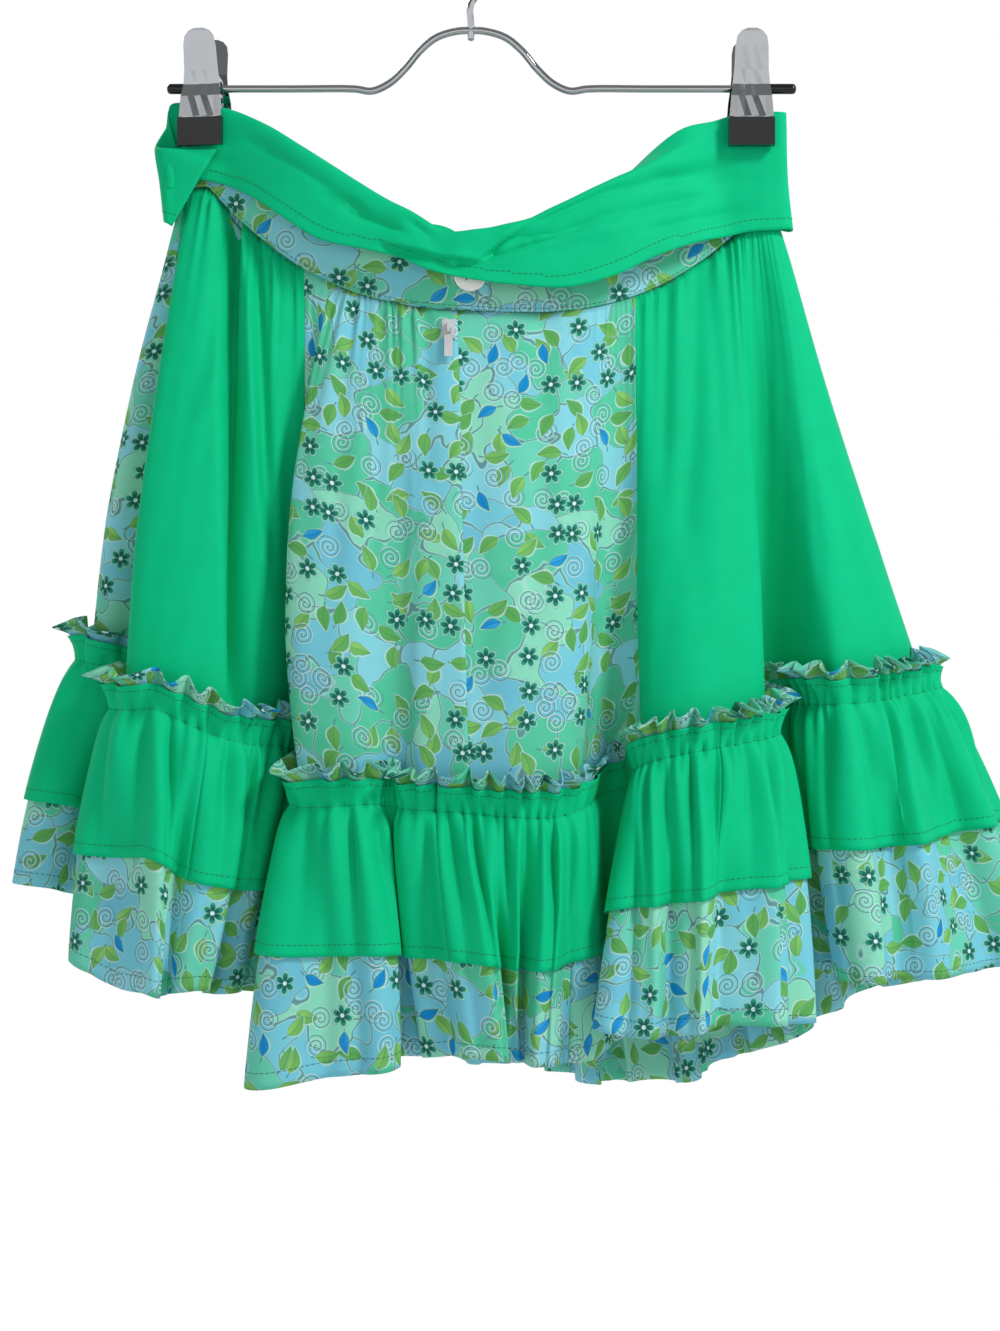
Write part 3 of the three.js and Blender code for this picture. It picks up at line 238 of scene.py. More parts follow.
class SkirtForm:
    """The skirt's outer form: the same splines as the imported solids, read at any place and height."""

    def __init__(self) -> None:
        """Works out the splines' controls and the number of gathers to each fold."""
        rows = [*NEAR_FOLDS, *self._far_folds()]
        self.names = [row[0] for row in rows]
        self.count = len(rows)
        table = np.array([row[1:] for row in rows], float)
        self.controls = {}
        for column, key in enumerate(FOLD_KEYS):
            value = table[:, column]
            lap = 360.0 if key == "turn" else 0.0
            before = np.roll(value, 1)
            before[0] -= lap
            after = np.roll(value, -1)
            after[-1] += lap
            self.controls[key] = value - (before - 2 * value + after) / SHARPNESS
        feet = self.foot(np.arange(self.count + 1, dtype=float))
        chords = np.linalg.norm(np.diff(feet, axis=0), axis=1)
        self.gathers = np.maximum(1, np.round(chords / FLOUNCE.wave_pitch))
        self.gather_total = np.concatenate([[0], np.cumsum(self.gathers)])

    @staticmethod
    def _far_folds() -> list[tuple]:
        """The far half's folds, worked out from its named sizes.

        Returns:
            Rows like those of NEAR_FOLDS.
        """
        first, last = NEAR_FOLDS[0], NEAR_FOLDS[-1]
        rows = []
        for i in range(1, FAR.folds + 1):
            share = i / (FAR.folds + 1)
            rounded = math.sin(math.pi * share) ** FAR.roundness
            fold = (1 if i % 2 else -1) * min(1, FAR.fold_rise * rounded - FAR.fold_start)
            longer = FAR.right_length * math.sin(math.pi * min(1, 2 * share))

            def between(start: float, end: float, part: float = share) -> float:
                """A size that goes evenly from one end of the far half to the other."""
                return start + (end - start) * part

            rows.append(
                (
                    f"far_{i}",
                    between(last[1], 360 + first[1]),
                    between(FAR.hang, FAR.left_hang) + longer,
                    between(last[3], first[3]),
                    -FAR.foot_depth * rounded - FAR.fold_depth * fold,
                    between(last[5], first[5]),
                    -FAR.hem_depth * rounded - FAR.hem_fold_depth * fold,
                    between(between(last[7], first[7]), FAR.fall, rounded) + longer,
                    0,
                    FAR.gather * rounded,
                    1,
                )
            )
        return rows

    def place(self, fold: "str | int | float") -> float:
        """The place of a named near fold, or of a numbered far one.

        Args:
            fold: its name, or its number on the far half.

        Returns:
            The place, counted in folds.
        """
        if isinstance(fold, str):
            return float(self.names.index(fold))
        return len(NEAR_FOLDS) - 1 + float(fold)

    def at(self, place: np.ndarray, key: str) -> np.ndarray:
        """One of the sizes at places round the ring, counted in folds.

        Args:
            place: places round the ring, counted in folds.
            key: one of FOLD_KEYS.

        Returns:
            The size at each place.
        """
        index = np.floor(place).astype(int)
        t = place - index
        weights = (
            (1 - t) ** 3 / 6,
            (3 * t**3 - 6 * t**2 + 4) / 6,
            (-3 * t**3 + 3 * t**2 + 3 * t + 1) / 6,
            t**3 / 6,
        )
        lap = 360.0 if key == "turn" else 0.0
        total = np.zeros_like(t)
        for offset, weight in enumerate(weights):
            i = index - 1 + offset
            total = total + weight * (self.controls[key][i % self.count] + lap * (i // self.count))
        return total

    @staticmethod
    def side(turn: np.ndarray) -> np.ndarray:
        """1 on the near strand of the waist, -1 on the far one."""
        return np.tanh(np.sin(np.radians(turn)) / WAIST.turnback)

    @staticmethod
    def waist_depth(x: np.ndarray) -> np.ndarray:
        """Half the distance between the two strands of the waist."""
        across = np.clip((x - WAIST.centre_x) / WAIST.half_span, -1, 1)
        return WAIST.pinch + WAIST.opening * (1 - across**2) ** 2

    @staticmethod
    def twist_shift(x: np.ndarray) -> np.ndarray:
        """The sideways shift of the cloth where the turned left clip holds it."""
        run = x - CLIP_LEFT_X
        return -math.tan(math.radians(CLIP_LEFT_TWIST)) * run * np.exp(-((run / TWIST_REACH) ** 2) / 2)

    def waist(self, turn: np.ndarray) -> np.ndarray:
        """Points of the waist seam.

        Args:
            turn: turns round the waist, in degrees.

        Returns:
            Points in millimetres.
        """
        x = WAIST.centre_x - WAIST.half_width * np.cos(np.radians(turn))
        side = self.side(turn)
        across = np.clip((x - WAIST.centre_x) / WAIST.half_span, -1, 1)
        sag = WAIST.far_sag + (WAIST.near_sag - WAIST.far_sag) * (side + 1) / 2
        ends = WAIST.left_z + (WAIST.right_z - WAIST.left_z) * (across + 1) / 2
        z = ends - sag * (1 - np.abs(across) ** WAIST.sag_power)
        return np.stack([x, -side * self.waist_depth(x) + self.twist_shift(x), z], -1)

    def waist_frame(self, turn: np.ndarray) -> tuple[np.ndarray, np.ndarray]:
        """The directions up the waistband and out of it at each turn.

        Args:
            turn: turns round the waist, in degrees.

        Returns:
            Both directions, as unit vectors.
        """
        along = unit(self.waist(turn + 0.5) - self.waist(turn - 0.5))
        up = unit(np.array([0.0, 0.0, 1.0]) - along * along[..., 2:3])
        return up, unit(np.cross(along, up))

    def foot(self, place: np.ndarray) -> np.ndarray:
        """Points of the gather line.

        Args:
            place: places round the ring.

        Returns:
            Points in millimetres.
        """
        waist = self.waist(self.at(place, "turn"))
        x, y = self.at(place, "foot_x"), -self.at(place, "foot_out")
        run = (x - waist[..., 0]) ** 2 + (y - waist[..., 1]) ** 2
        return np.stack([x, y, waist[..., 2] - np.sqrt(self.at(place, "hang") ** 2 - run)], -1)

    def hem(self, place: np.ndarray) -> np.ndarray:
        """Points of the print flounce's hem.

        Args:
            place: places round the ring.

        Returns:
            Points in millimetres.
        """
        foot = self.foot(place)
        x, y = self.at(place, "hem_x"), -self.at(place, "hem_out")
        run = (x - foot[..., 0]) ** 2 + (y - foot[..., 1]) ** 2
        return np.stack([x, y, foot[..., 2] - np.sqrt(self.at(place, "fall") ** 2 - run)], -1)

    def gore(self, place: np.ndarray, share: np.ndarray) -> np.ndarray:
        """Points of the gores' outer face, the share counted from the waist seam to the gather line.

        Args:
            place: places round the ring.
            share: share of the way down.

        Returns:
            Points in millimetres.
        """
        turn = self.at(place, "turn")
        waist, foot = self.waist(turn), self.foot(place)
        point = waist + (foot - waist) * share[..., None]
        inside = np.minimum(share, 1)
        swell = 4 * inside * (1 - inside)
        point[..., 0] += self.at(place, "belly") * swell
        point[..., 1] -= GORE_BULGE * self.side(turn) * swell
        return point

    def flounce(self, place: np.ndarray, drop: np.ndarray) -> np.ndarray:
        """Points of the flounces' base, the drop counted down from the gather line in lengths of cloth.

        Args:
            place: places round the ring.
            drop: length of cloth below the gather line.

        Returns:
            Points in millimetres.
        """
        above = self.gore(place, 1 + np.minimum(drop, 0) / self.at(place, "hang"))
        foot = self.foot(place)
        below = foot + (self.hem(place) - foot) * (drop / self.at(place, "fall"))[..., None]
        return np.where((drop > 0)[..., None], below, above)

    @staticmethod
    def bend(point_at: Callable, place: np.ndarray) -> tuple[np.ndarray, np.ndarray]:
        """The level normal of a ring and the radius of its bend where it closes on itself.

        Args:
            point_at: gives the ring's points at an array of places.
            place: where to read it.

        Returns:
            The normals, and the radii, infinite where the ring opens.
        """
        before, here, after = (point_at(place + step)[..., :2] for step in (-BEND_STEP, 0, BEND_STEP))
        into, out = here - before, after - here
        along = unit(into + out)
        normal = np.stack([along[..., 1], -along[..., 0], np.zeros_like(along[..., 0])], -1)
        turn = np.arctan2(into[..., 0] * out[..., 1] - into[..., 1] * out[..., 0], (into * out).sum(-1))
        length = (np.linalg.norm(into, axis=-1) + np.linalg.norm(out, axis=-1)) / 2
        radius = np.where(turn > 0, OPEN_RADIUS, length / np.maximum(-turn, 1e-6))
        return normal, radius

    def gather_phase(self, place: np.ndarray) -> np.ndarray:
        """The running number of gathers at a place.

        Args:
            place: places round the ring.

        Returns:
            The number of gathers up to each place.
        """
        index = np.floor(place).astype(int)
        laps, inside = index // self.count, index % self.count
        share = place - index
        return laps * self.gather_total[-1] + self.gather_total[inside] + share * self.gathers[inside]


FORM = SkirtForm()


# ---------------------------------------------------------------- meshes


def make_mesh(
    name: str, vertices: np.ndarray, faces: np.ndarray, uv: "np.ndarray | None" = None
) -> bpy.types.Object:
    """A mesh object from arrays, its vertices given in millimetres.

    Args:
        name: the piece's name.
        vertices: points, n by 3.
        faces: quads, m by 4.
        uv: the print's place on each vertex in millimetres, n by 2.

    Returns:
        The new object, smoothly shaded.
    """
    mesh = bpy.data.meshes.new(name)
    mesh.vertices.add(len(vertices))
    mesh.vertices.foreach_set("co", (vertices * MM).astype(np.float32).ravel())
    mesh.loops.add(faces.size)
    mesh.loops.foreach_set("vertex_index", faces.astype(np.int32).ravel())
    mesh.polygons.add(len(faces))
    mesh.polygons.foreach_set("loop_start", np.arange(0, faces.size, faces.shape[1], dtype=np.int32))
    mesh.polygons.foreach_set("use_smooth", np.ones(len(faces), bool))
    mesh.update(calc_edges=True)
    mesh.validate()
    if uv is not None:
        layer = mesh.uv_layers.new(name="cloth")
        layer.data.foreach_set("uv", (uv[faces.ravel()] * MM).astype(np.float32).ravel())
    piece = bpy.data.objects.new(name, mesh)
    bpy.context.scene.collection.objects.link(piece)
    return piece


def grid_normals(points: np.ndarray) -> np.ndarray:
    """Normals of a grid [column, row] of points, outward when columns run round the ring and rows go down."""
    across = np.gradient(points, axis=0)
    down = np.gradient(points, axis=1)
    return unit(np.cross(down, across))


def grid_faces(columns: int, rows: int, ring: bool, flip: bool, start: int = 0) -> np.ndarray:
    """Quads of a grid [column, row] of vertices.

    Args:
        columns, rows: size of the grid.
        ring: whether the last column joins the first.
        flip: whether the quads face the other way.
        start: number of the first vertex.

    Returns:
        Quads, n by 4.
    """
    spans = columns if ring else columns - 1
    c, r = np.meshgrid(np.arange(spans), np.arange(rows - 1), indexing="ij")
    n = (c + 1) % columns
    quads = np.stack([c * rows + r, c * rows + r + 1, n * rows + r + 1, n * rows + r], -1).reshape(-1, 4)
    return (quads[:, ::-1] if flip else quads) + start


def rim_faces(columns: int, rows: int, ring: bool) -> np.ndarray:
    """Quads that close the edges between an outer grid and the inner one that follows it.

    Args:
        columns, rows: size of each grid.
        ring: whether the last column joins the first.

    Returns:
        Quads, n by 4.
    """
    size = columns * rows
    quads = []
    spans = columns if ring else columns - 1
    c = np.arange(spans)
    n = (c + 1) % columns
    for row, flip in ((0, False), (rows - 1, True)):
        a, b = c * rows + row, n * rows + row
        quad = np.stack([a, b, b + size, a + size], -1)
        quads.append(quad[:, ::-1] if flip else quad)
    if not ring:
        r = np.arange(rows - 1)
        for column, flip in ((0, True), (columns - 1, False)):
            a, b = column * rows + r, column * rows + r + 1
            quad = np.stack([a, b, b + size, a + size], -1)
            quads.append(quad[:, ::-1] if flip else quad)
    return np.concatenate(quads)


@dataclass
class ClothGrid:
    """A piece of cloth as a grid [column, row] of outer points with its place on the bolt.

    Attributes:
        points: outer points in millimetres.
        uv: the place of each point on the flat cloth, in millimetres.
        thickness: of the cloth.
        ring: whether the last column joins the first.
    """

    points: np.ndarray
    uv: np.ndarray
    thickness: "float | np.ndarray" = 0.5
    ring: bool = False

    def build(self, name: str, cloth: Cloth, material: bpy.types.Material) -> bpy.types.Object:
        """Makes the closed thin shell.

        Args:
            name: the piece's name.
            cloth: which cloth; not used.
            material: its material.

        Returns:
            The piece, which rides with the garment.
        """
        columns, rows = self.points.shape[:2]
        inner = self.points - grid_normals(self.points) * np.asarray(self.thickness)[..., None]
        vertices = np.concatenate([self.points.reshape(-1, 3), inner.reshape(-1, 3)])
        faces = np.concatenate(
            [
                grid_faces(columns, rows, self.ring, False),
                grid_faces(columns, rows, self.ring, True, columns * rows),
                rim_faces(columns, rows, self.ring),
            ]
        )
        uv = np.concatenate([self.uv.reshape(-1, 2), self.uv.reshape(-1, 2)])
        piece = make_mesh(name, vertices, faces, uv)
        piece.data.materials.append(material)
        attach(piece, GARMENT)
        return piece

    def size(self) -> tuple[float, float, float]:
        """Mean width and length of the cloth along its columns and rows, and its area, in metres.

        Returns:
            The width, the length and the area.
        """
        across = np.linalg.norm(np.diff(self.points, axis=0), axis=-1).sum(0).mean()
        down = np.linalg.norm(np.diff(self.points, axis=1), axis=-1).sum(1).mean()
        a = np.diff(self.points, axis=0)[:, :-1]
        b = np.diff(self.points, axis=1)[:-1]
        area = np.linalg.norm(np.cross(a, b), axis=-1).sum()
        return across * MM, down * MM, area * MM * MM


def declare_cut(
    piece: bpy.types.Object, width: float, length: float, area: float
) -> None:
    """Reports the cut of a piece of cloth, in metres.

    Args:
        piece: the cloth.
        width, length, area: its cut.
    """
    flat = (round(width, 3), round(length, 3))
    area = min(area, flat[0] * flat[1])
    LOG.info("%s: cut %.3f x %.3f m, %.4f square metres", piece.name, *flat, area)


def run_length(points: np.ndarray, axis: int) -> np.ndarray:
    """Length of cloth from the first point to each one along an axis of a grid.

    Args:
        points: the grid.
        axis: the axis to run along.

    Returns:
        The lengths, in millimetres.
    """
    steps = np.linalg.norm(np.diff(points, axis=axis), axis=-1)
    total = np.cumsum(steps, axis=axis)
    pad = [(0, 0)] * total.ndim
    pad[axis] = (1, 0)
    return np.pad(total, pad)


@dataclass
class Stitching:
    """Rows of short threads, gathered up into one piece.

    Attributes:
        thread, length, gap: each stitch's thickness and length, and the cloth between two, in millimetres.
        sink: how far the thread's middle stands above the cloth.
        dive: how far a stitch's ends go into the cloth, as a share of its thickness.
        step: how far to each side the direction of the line is read.
        section: share of the length and of the thickness at each ring of a stitch.
    """

    name: str
    thread: float = 0.42
    length: float = 2.3
    gap: float = 0.8
    sink: float = 0.1
    dive: float = 0.35
    step: float = 0.2
    section: tuple = ((0.0, 0.35), (0.18, 0.95), (0.82, 0.95), (1.0, 0.35))
    vertices: list = field(default_factory=list)
    faces: list = field(default_factory=list)
    count: int = 0

    def sew(self, points: np.ndarray, normals: np.ndarray) -> None:
        """Adds a row of stitches along a line on cloth.

        Args:
            points: the line, n by 3, in millimetres.
            normals: the cloth's outward normal at each point.
        """
        run = run_length(points, 0)
        pitch = self.length + self.gap
        starts = np.arange(self.gap, run[-1] - self.length, pitch)
        if not len(starts):
            return
        rings = []
        for share, fat in self.section:
            at = starts + self.length * share
            centre = np.stack([np.interp(at, run, points[:, k]) for k in range(3)], -1)
            normal = unit(np.stack([np.interp(at, run, normals[:, k]) for k in range(3)], -1))
            ahead = np.stack([np.interp(at + self.step, run, points[:, k]) for k in range(3)], -1)
            behind = np.stack([np.interp(at - self.step, run, points[:, k]) for k in range(3)], -1)
            side = unit(np.cross(unit(ahead - behind), normal))
            dip = self.sink if 0 < share < 1 else self.sink - self.dive * self.thread
            middle = centre + normal * dip
            half = fat * self.thread / 2
            across, over = side * half, normal * half
            rings.append(np.stack([middle + across, middle + over, middle - across, middle - over], 1))
        block = np.stack(rings, 1).reshape(-1, 3)
        base = self.count + np.arange(len(starts))[:, None] * 16
        quads = []
        for ring in range(3):
            for k in range(4):
                a, b = ring * 4 + k, ring * 4 + (k + 1) % 4
                quads.append(base + np.array([a, b, b + 4, a + 4]))
        quads.append(base + np.array([3, 2, 1, 0]))
        quads.append(base + np.array([12, 13, 14, 15]))
        self.vertices.append(block)
        self.faces.extend(quads)
        self.count += len(block)

    def build(self, cloth: Cloth, material: bpy.types.Material) -> bpy.types.Object:
        """Makes the threads one piece that rides with the garment.

        Args:
            cloth: which cloth; not used.
            material: its material.

        Returns:
            The piece.
        """
        piece = make_mesh(self.name, np.concatenate(self.vertices), np.concatenate(self.faces))
        piece.data.materials.append(material)
        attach(piece, GARMENT)
        LOG.info("%s: %d vertices", self.name, self.count)
        return piece


# ---------------------------------------------------------------- finishes

Source = Union[bpy.types.Node, bpy.types.NodeSocket]
Inks = list[tuple[Source, object]]
# settings of a MapRange node that falls smoothly from 1 at its first value to 0 at its second
FADE = {"interpolation_type": "SMOOTHSTEP"}
# UVs are in metres, the print's own sizes in millimetres
MM_PER_METRE = 1000.0


def linear(colour: str) -> tuple[float, float, float, float]:
    """An sRGB hex colour as the linear one that shaders take."""
    parts = [int(colour[i : i + 2], 16) / 255 for i in (1, 3, 5)]
    return (*(c / 12.92 if c <= 0.04045 else ((c + 0.055) / 1.055) ** 2.4 for c in parts), 1.0)


class Nodes:
    """The node tree of a material or of the world, with one call to add a node, set it and link it."""

    def __init__(self, owner: "bpy.types.Material | bpy.types.World", shader: str = "Principled BSDF") -> None:
        """Takes the tree of a material or of the world.

        Args:
            owner: the material or the world.
            shader: name of the node that everything leads to.
        """
        owner.use_nodes = True
        self.owner = owner
        self.tree = owner.node_tree
        self.shader = self.tree.nodes[shader]

    def add(
        self, kind: str, inputs: "dict | tuple" = (), stops: tuple = (), **settings: object
    ) -> bpy.types.Node:
        """Adds a node with its settings and links.

        Args:
            kind: the node's type without its ShaderNode prefix.
            inputs: value, node or socket for each input, by name or number, or in order.
            stops: place and linear colour of each stop of a colour ramp.
            settings: the properties of the node, or of its colour ramp.

        Returns:
            The node.
        """
        node = self.tree.nodes.new("ShaderNode" + kind)
        ramp = getattr(node, "color_ramp", None)
        for key, value in settings.items():
            setattr(ramp or node, key, value)
        while ramp and len(ramp.elements) < len(stops):
            ramp.elements.new(0.5)
        for number, (position, colour) in enumerate(stops):
            ramp.elements[number].position = position
            ramp.elements[number].color = colour
        self.feed(node, inputs if isinstance(inputs, dict) else dict(enumerate(inputs)))
        return node

    def feed(self, node: bpy.types.Node, inputs: dict) -> None:
        """Sets inputs or links them; a node stands for the first of its outputs that is in use.

        Args:
            node: whose inputs.
            inputs: value, node or socket for each input, by name or number.
        """
        for key, value in inputs.items():
            if isinstance(value, bpy.types.Node):
                value = next(output for output in value.outputs if output.enabled)
            if isinstance(value, bpy.types.NodeSocket):
                self.tree.links.new(value, node.inputs[key])
            else:
                node.inputs[key].default_value = value


@dataclass(frozen=True)
class WovenFinish:
    """Fine cotton: its colour, how it takes light, and the size of its yarns in millimetres.

    The scales of noise are per metre of cloth: 22 makes patches of about 45 mm, 60 of about 17 mm
    and 900 slubs of about 1 mm.
    """

    name: str
    colour: str
    shade: str
    roughness: float = 0.7
    sheen: float = 0.02
    sheen_roughness: float = 0.4
    gloss: float = 0.1
    yarn: float = 0.34
    weave_share: float = 0.35
    slow_scale: float = 22.0
    slub_scale: float = 900.0
    mottle_scale: float = 60.0

    def weave(self, nodes: Nodes, place: Source) -> bpy.types.Node:
        """Bump of the plain weave: two sets of yarns that pass over and under each other.

        Args:
            nodes: the material's node tree.
            place: the place on the flat cloth, in metres.

        Returns:
            The weave's height.
        """
        split = nodes.add("SeparateXYZ", (place,))
        wave = MM_PER_METRE * 2 * math.pi / self.yarn
        across = nodes.add("Math", (split.outputs[0], wave), operation="MULTIPLY")
        along = nodes.add("Math", (split.outputs[1], wave), operation="MULTIPLY")
        warp = nodes.add("Math", (across,), operation="SINE")
        weft = nodes.add("Math", (along,), operation="SINE")
        return nodes.add("Math", (warp, weft), operation="MULTIPLY")

    def finish(self, nodes: Nodes, colour: Source) -> bpy.types.Material:
        """Joins colour, weave and slow unevenness to the shader.

        Args:
            nodes: the material's node tree.
            colour: the cloth's colour.

        Returns:
            The material.
        """
        place = nodes.add("UVMap", uv_map="cloth")
        slow = nodes.add("TexNoise", {"Vector": place, "Scale": self.slow_scale, "Detail": 3.0})
        slub = nodes.add("TexNoise", {"Vector": place, "Scale": self.slub_scale, "Detail": 2.0})
        weave = nodes.add("Math", (self.weave(nodes, place), self.weave_share), operation="MULTIPLY")
        height = nodes.add("Math", (weave, slub), operation="ADD")
        bump = nodes.add("Bump", {"Strength": 0.12, "Distance": 0.0002, "Height": height})
        soft = nodes.add("Bump", {"Strength": 0.25, "Distance": 0.002, "Height": slow, "Normal": bump})
        looks = {
            "Base Color": colour,
            "Normal": soft,
            "Roughness": self.roughness,
            "Specular IOR Level": self.gloss,
            "Sheen Weight": self.sheen,
            "Sheen Roughness": self.sheen_roughness,
        }
        nodes.feed(nodes.shader, looks)
        return nodes.owner

    def build(self) -> bpy.types.Material:
        """Plain dyed cloth, a little deeper in colour where it is slightly uneven.

        Returns:
            The material.
        """
        nodes = Nodes(bpy.data.materials.new(self.name))
        place = nodes.add("UVMap", uv_map="cloth")
        mottle = nodes.add("TexNoise", {"Vector": place, "Scale": self.mottle_scale, "Detail": 4.0})
        mixed = {0: mottle, 6: linear(self.shade), 7: linear(self.colour)}
        return self.finish(nodes, nodes.add("Mix", mixed, data_type="RGBA"))


class Motif(Enum):
    """The kinds of motif in the print."""

    LEAF = "leaf"
    SCROLL = "scroll"
    FLOWER = "flower"
    BUD = "bud"


@dataclass(frozen=True)
class MotifCell:
    """One motif's own coordinates in its cell, in millimetres and radians, and a random tint."""

    x: Source
    y: Source
    radius: Source
    angle: Source
    tint: Source


@dataclass(frozen=True)
class LeafSizes:
    """A leaf or a bud: its half length and width in millimetres, and its inks."""

    length: float
    width: float
    dark: str
    light: str
    vein: str


LEAF = LeafSizes(6.9, 3.3, "#5aa85a", "#93cf6c", "#3f8f5a")
BUD = LeafSizes(6.2, 2.7, "#1088cc", "#37a9e2", "#1b6f9f")
VINE = "#5c8f95"
PATCHES = (
    # share of the cells from which a colour is used, colour
    (0.0, "#72c6de"),
    (0.24, "#62cdae"),
    (0.42, "#84d0e2"),
    (0.56, "#48c396"),
    (0.74, "#8adaba"),
    (0.88, "#6cbcd8"),
)
SPRIGS = (
    # motif, and the shares of the cells between which it is drawn
    (Motif.LEAF, 0.0, 0.45),
    (Motif.SCROLL, 0.45, 0.78),
)
BLOOMS = (
    (Motif.LEAF, 0.0, 0.42),
    (Motif.SCROLL, 0.42, 0.64),
    (Motif.FLOWER, 0.64, 0.86),
    (Motif.BUD, 0.86, 0.98),
)


@dataclass(frozen=True)
class PrintFinish(WovenFinish):
    """Printed cotton: soft patches of blue and green edged by vines, with leaves, flowers, buds and scrolls.

    The motifs are scattered by cell noise, one to a cell, each turned its own way. Sizes are in millimetres:
    patches of 27, cells of 17 for the main motifs and of 19 for the sprigs between them.
    """

    patch: float = 27.0
    motif: float = 17.0
    sprig: float = 19.0
    warp: float = 9.0

    def build(self) -> bpy.types.Material:
        """Lays patches, vines and motifs over each other.

        Returns:
            The material.
        """
        nodes = Nodes(bpy.data.materials.new(self.name))
        cloth = nodes.add("UVMap", uv_map="cloth")
        place = nodes.add("VectorMath", {0: cloth, "Scale": MM_PER_METRE}, operation="SCALE")
        colour, vine = self._patches(nodes, place)
        colour = nodes.add("Mix", {0: vine, 6: colour, 7: linear(VINE)}, data_type="RGBA")
        return self.finish(nodes, self._motifs(nodes, place, colour))

    def _patches(self, nodes: Nodes, place: Source) -> tuple[Source, Source]:
        """Soft-edged patches of colour, and the vines along their borders.

        Args:
            nodes: the material's node tree.
            place: the place on the flat cloth, in millimetres.

        Returns:
            The patches' colour, and where a vine is drawn.
        """
        noise = nodes.add("TexNoise", {"Vector": place, "Scale": 0.028, "Detail": 1.5}, noise_dimensions="2D")
        centred = nodes.add("VectorMath", (noise.outputs["Color"], (0.5, 0.5, 0.5)), operation="SUBTRACT")
        drift = nodes.add("VectorMath", {0: centred, "Scale": 6 * self.warp}, operation="SCALE")
        cells = {"Vector": nodes.add("VectorMath", (place, drift), operation="ADD"), "Scale": 1 / self.patch}
        soft = {**cells, "Smoothness": 0.12}
        patch = nodes.add("TexVoronoi", soft, voronoi_dimensions="2D", feature="SMOOTH_F1")
        pick = nodes.add("SeparateColor", (patch.outputs["Color"],))
        stops = tuple((share, linear(colour)) for share, colour in PATCHES)
        colour = nodes.add("ValToRGB", (pick,), stops, interpolation="CONSTANT")
        wash = nodes.add("TexNoise", {"Vector": place, "Scale": 0.06, "Detail": 2.0}, noise_dimensions="2D")
        thin = nodes.add("Math", (wash, 0.35), operation="MULTIPLY")
        colour = nodes.add("Mix", {0: thin, 6: colour, 7: linear("#7fd4c8")}, data_type="RGBA")
        border = nodes.add("TexVoronoi", cells, voronoi_dimensions="2D", feature="DISTANCE_TO_EDGE")
        reach = nodes.add("Math", (border, self.patch), operation="MULTIPLY")
        glow = nodes.add("MapRange", (reach, 0.7, 1.3, 1.0, 0.0), **FADE)
        thin = nodes.add("Math", (glow, 0.5), operation="MULTIPLY")
        colour = nodes.add("Mix", {0: thin, 6: colour, 7: linear("#b4e0d8")}, data_type="RGBA")
        line = nodes.add("MapRange", (reach, 0.35, 0.65, 1.0, 0.0), **FADE)
        return colour, nodes.add("Math", (line, 0.9), operation="MULTIPLY")

    def _motifs(self, nodes: Nodes, place: Source, colour: Source) -> Source:
        """Leaves, scrolls, flowers and buds, each drawn in its cell's own turned coordinates.

        Args:
            nodes: the material's node tree.
            place: the place on the flat cloth, in millimetres.
            colour: the ground under the motifs.

        Returns:
            The colour with the motifs over it.
        """
        layers = ((self.sprig, (211.0, 97.0, 0.0), SPRIGS), (self.motif, (0.0, 0.0, 0.0), BLOOMS))
        for pitch, shift, motifs in layers:
            moved = nodes.add("VectorMath", (place, shift), operation="ADD")
            scatter = {"Vector": moved, "Scale": 1 / pitch, "Randomness": 0.6}
            cell = nodes.add("TexVoronoi", scatter, voronoi_dimensions="2D", feature="F1")
            local = nodes.add("VectorMath", (moved, cell.outputs["Position"]), operation="SUBTRACT")
            picks = nodes.add("SeparateColor", (cell.outputs["Color"],))
            turn = nodes.add("Math", (picks, 2 * math.pi), operation="MULTIPLY")
            turned = nodes.add("VectorRotate", {"Vector": local, "Angle": turn}, rotation_type="Z_AXIS")
            flat = nodes.add("SeparateXYZ", (turned,))
            x, y = flat.outputs[0], flat.outputs[1]
            squares = [nodes.add("Math", (side, 2.0), operation="POWER") for side in (x, y)]
            radius = nodes.add("Math", (nodes.add("Math", squares, operation="ADD"),), operation="SQRT")
            angle = nodes.add("Math", (y, x), operation="ARCTAN2")
            at = MotifCell(x, y, radius, angle, picks.outputs[2])
            for motif, low, high in motifs:
                above = nodes.add("Math", (picks.outputs[1], low), operation="GREATER_THAN")
                under = nodes.add("Math", (picks.outputs[1], high), operation="LESS_THAN")
                chosen = nodes.add("Math", (above, under), operation="MULTIPLY")
                for mask, ink in self._inks(nodes, motif, at):
                    shown = nodes.add("Math", (mask, chosen), operation="MULTIPLY")
                    colour = nodes.add("Mix", {0: shown, 6: colour, 7: ink}, data_type="RGBA")
        return colour

    def _inks(self, nodes: Nodes, motif: Motif, at: MotifCell) -> Inks:
        """The masks and colours of one kind of motif, from the lowest ink up.

        Args:
            nodes: the material's node tree.
            motif: which kind.
            at: its coordinates.

        Returns:
            Pairs of mask and colour.
        """
        if motif is Motif.LEAF:
            return self._leaf(nodes, at, LEAF)
        if motif is Motif.BUD:
            return self._leaf(nodes, at, BUD)
        return self._flower(nodes, at) if motif is Motif.FLOWER else self._scroll(nodes, at)

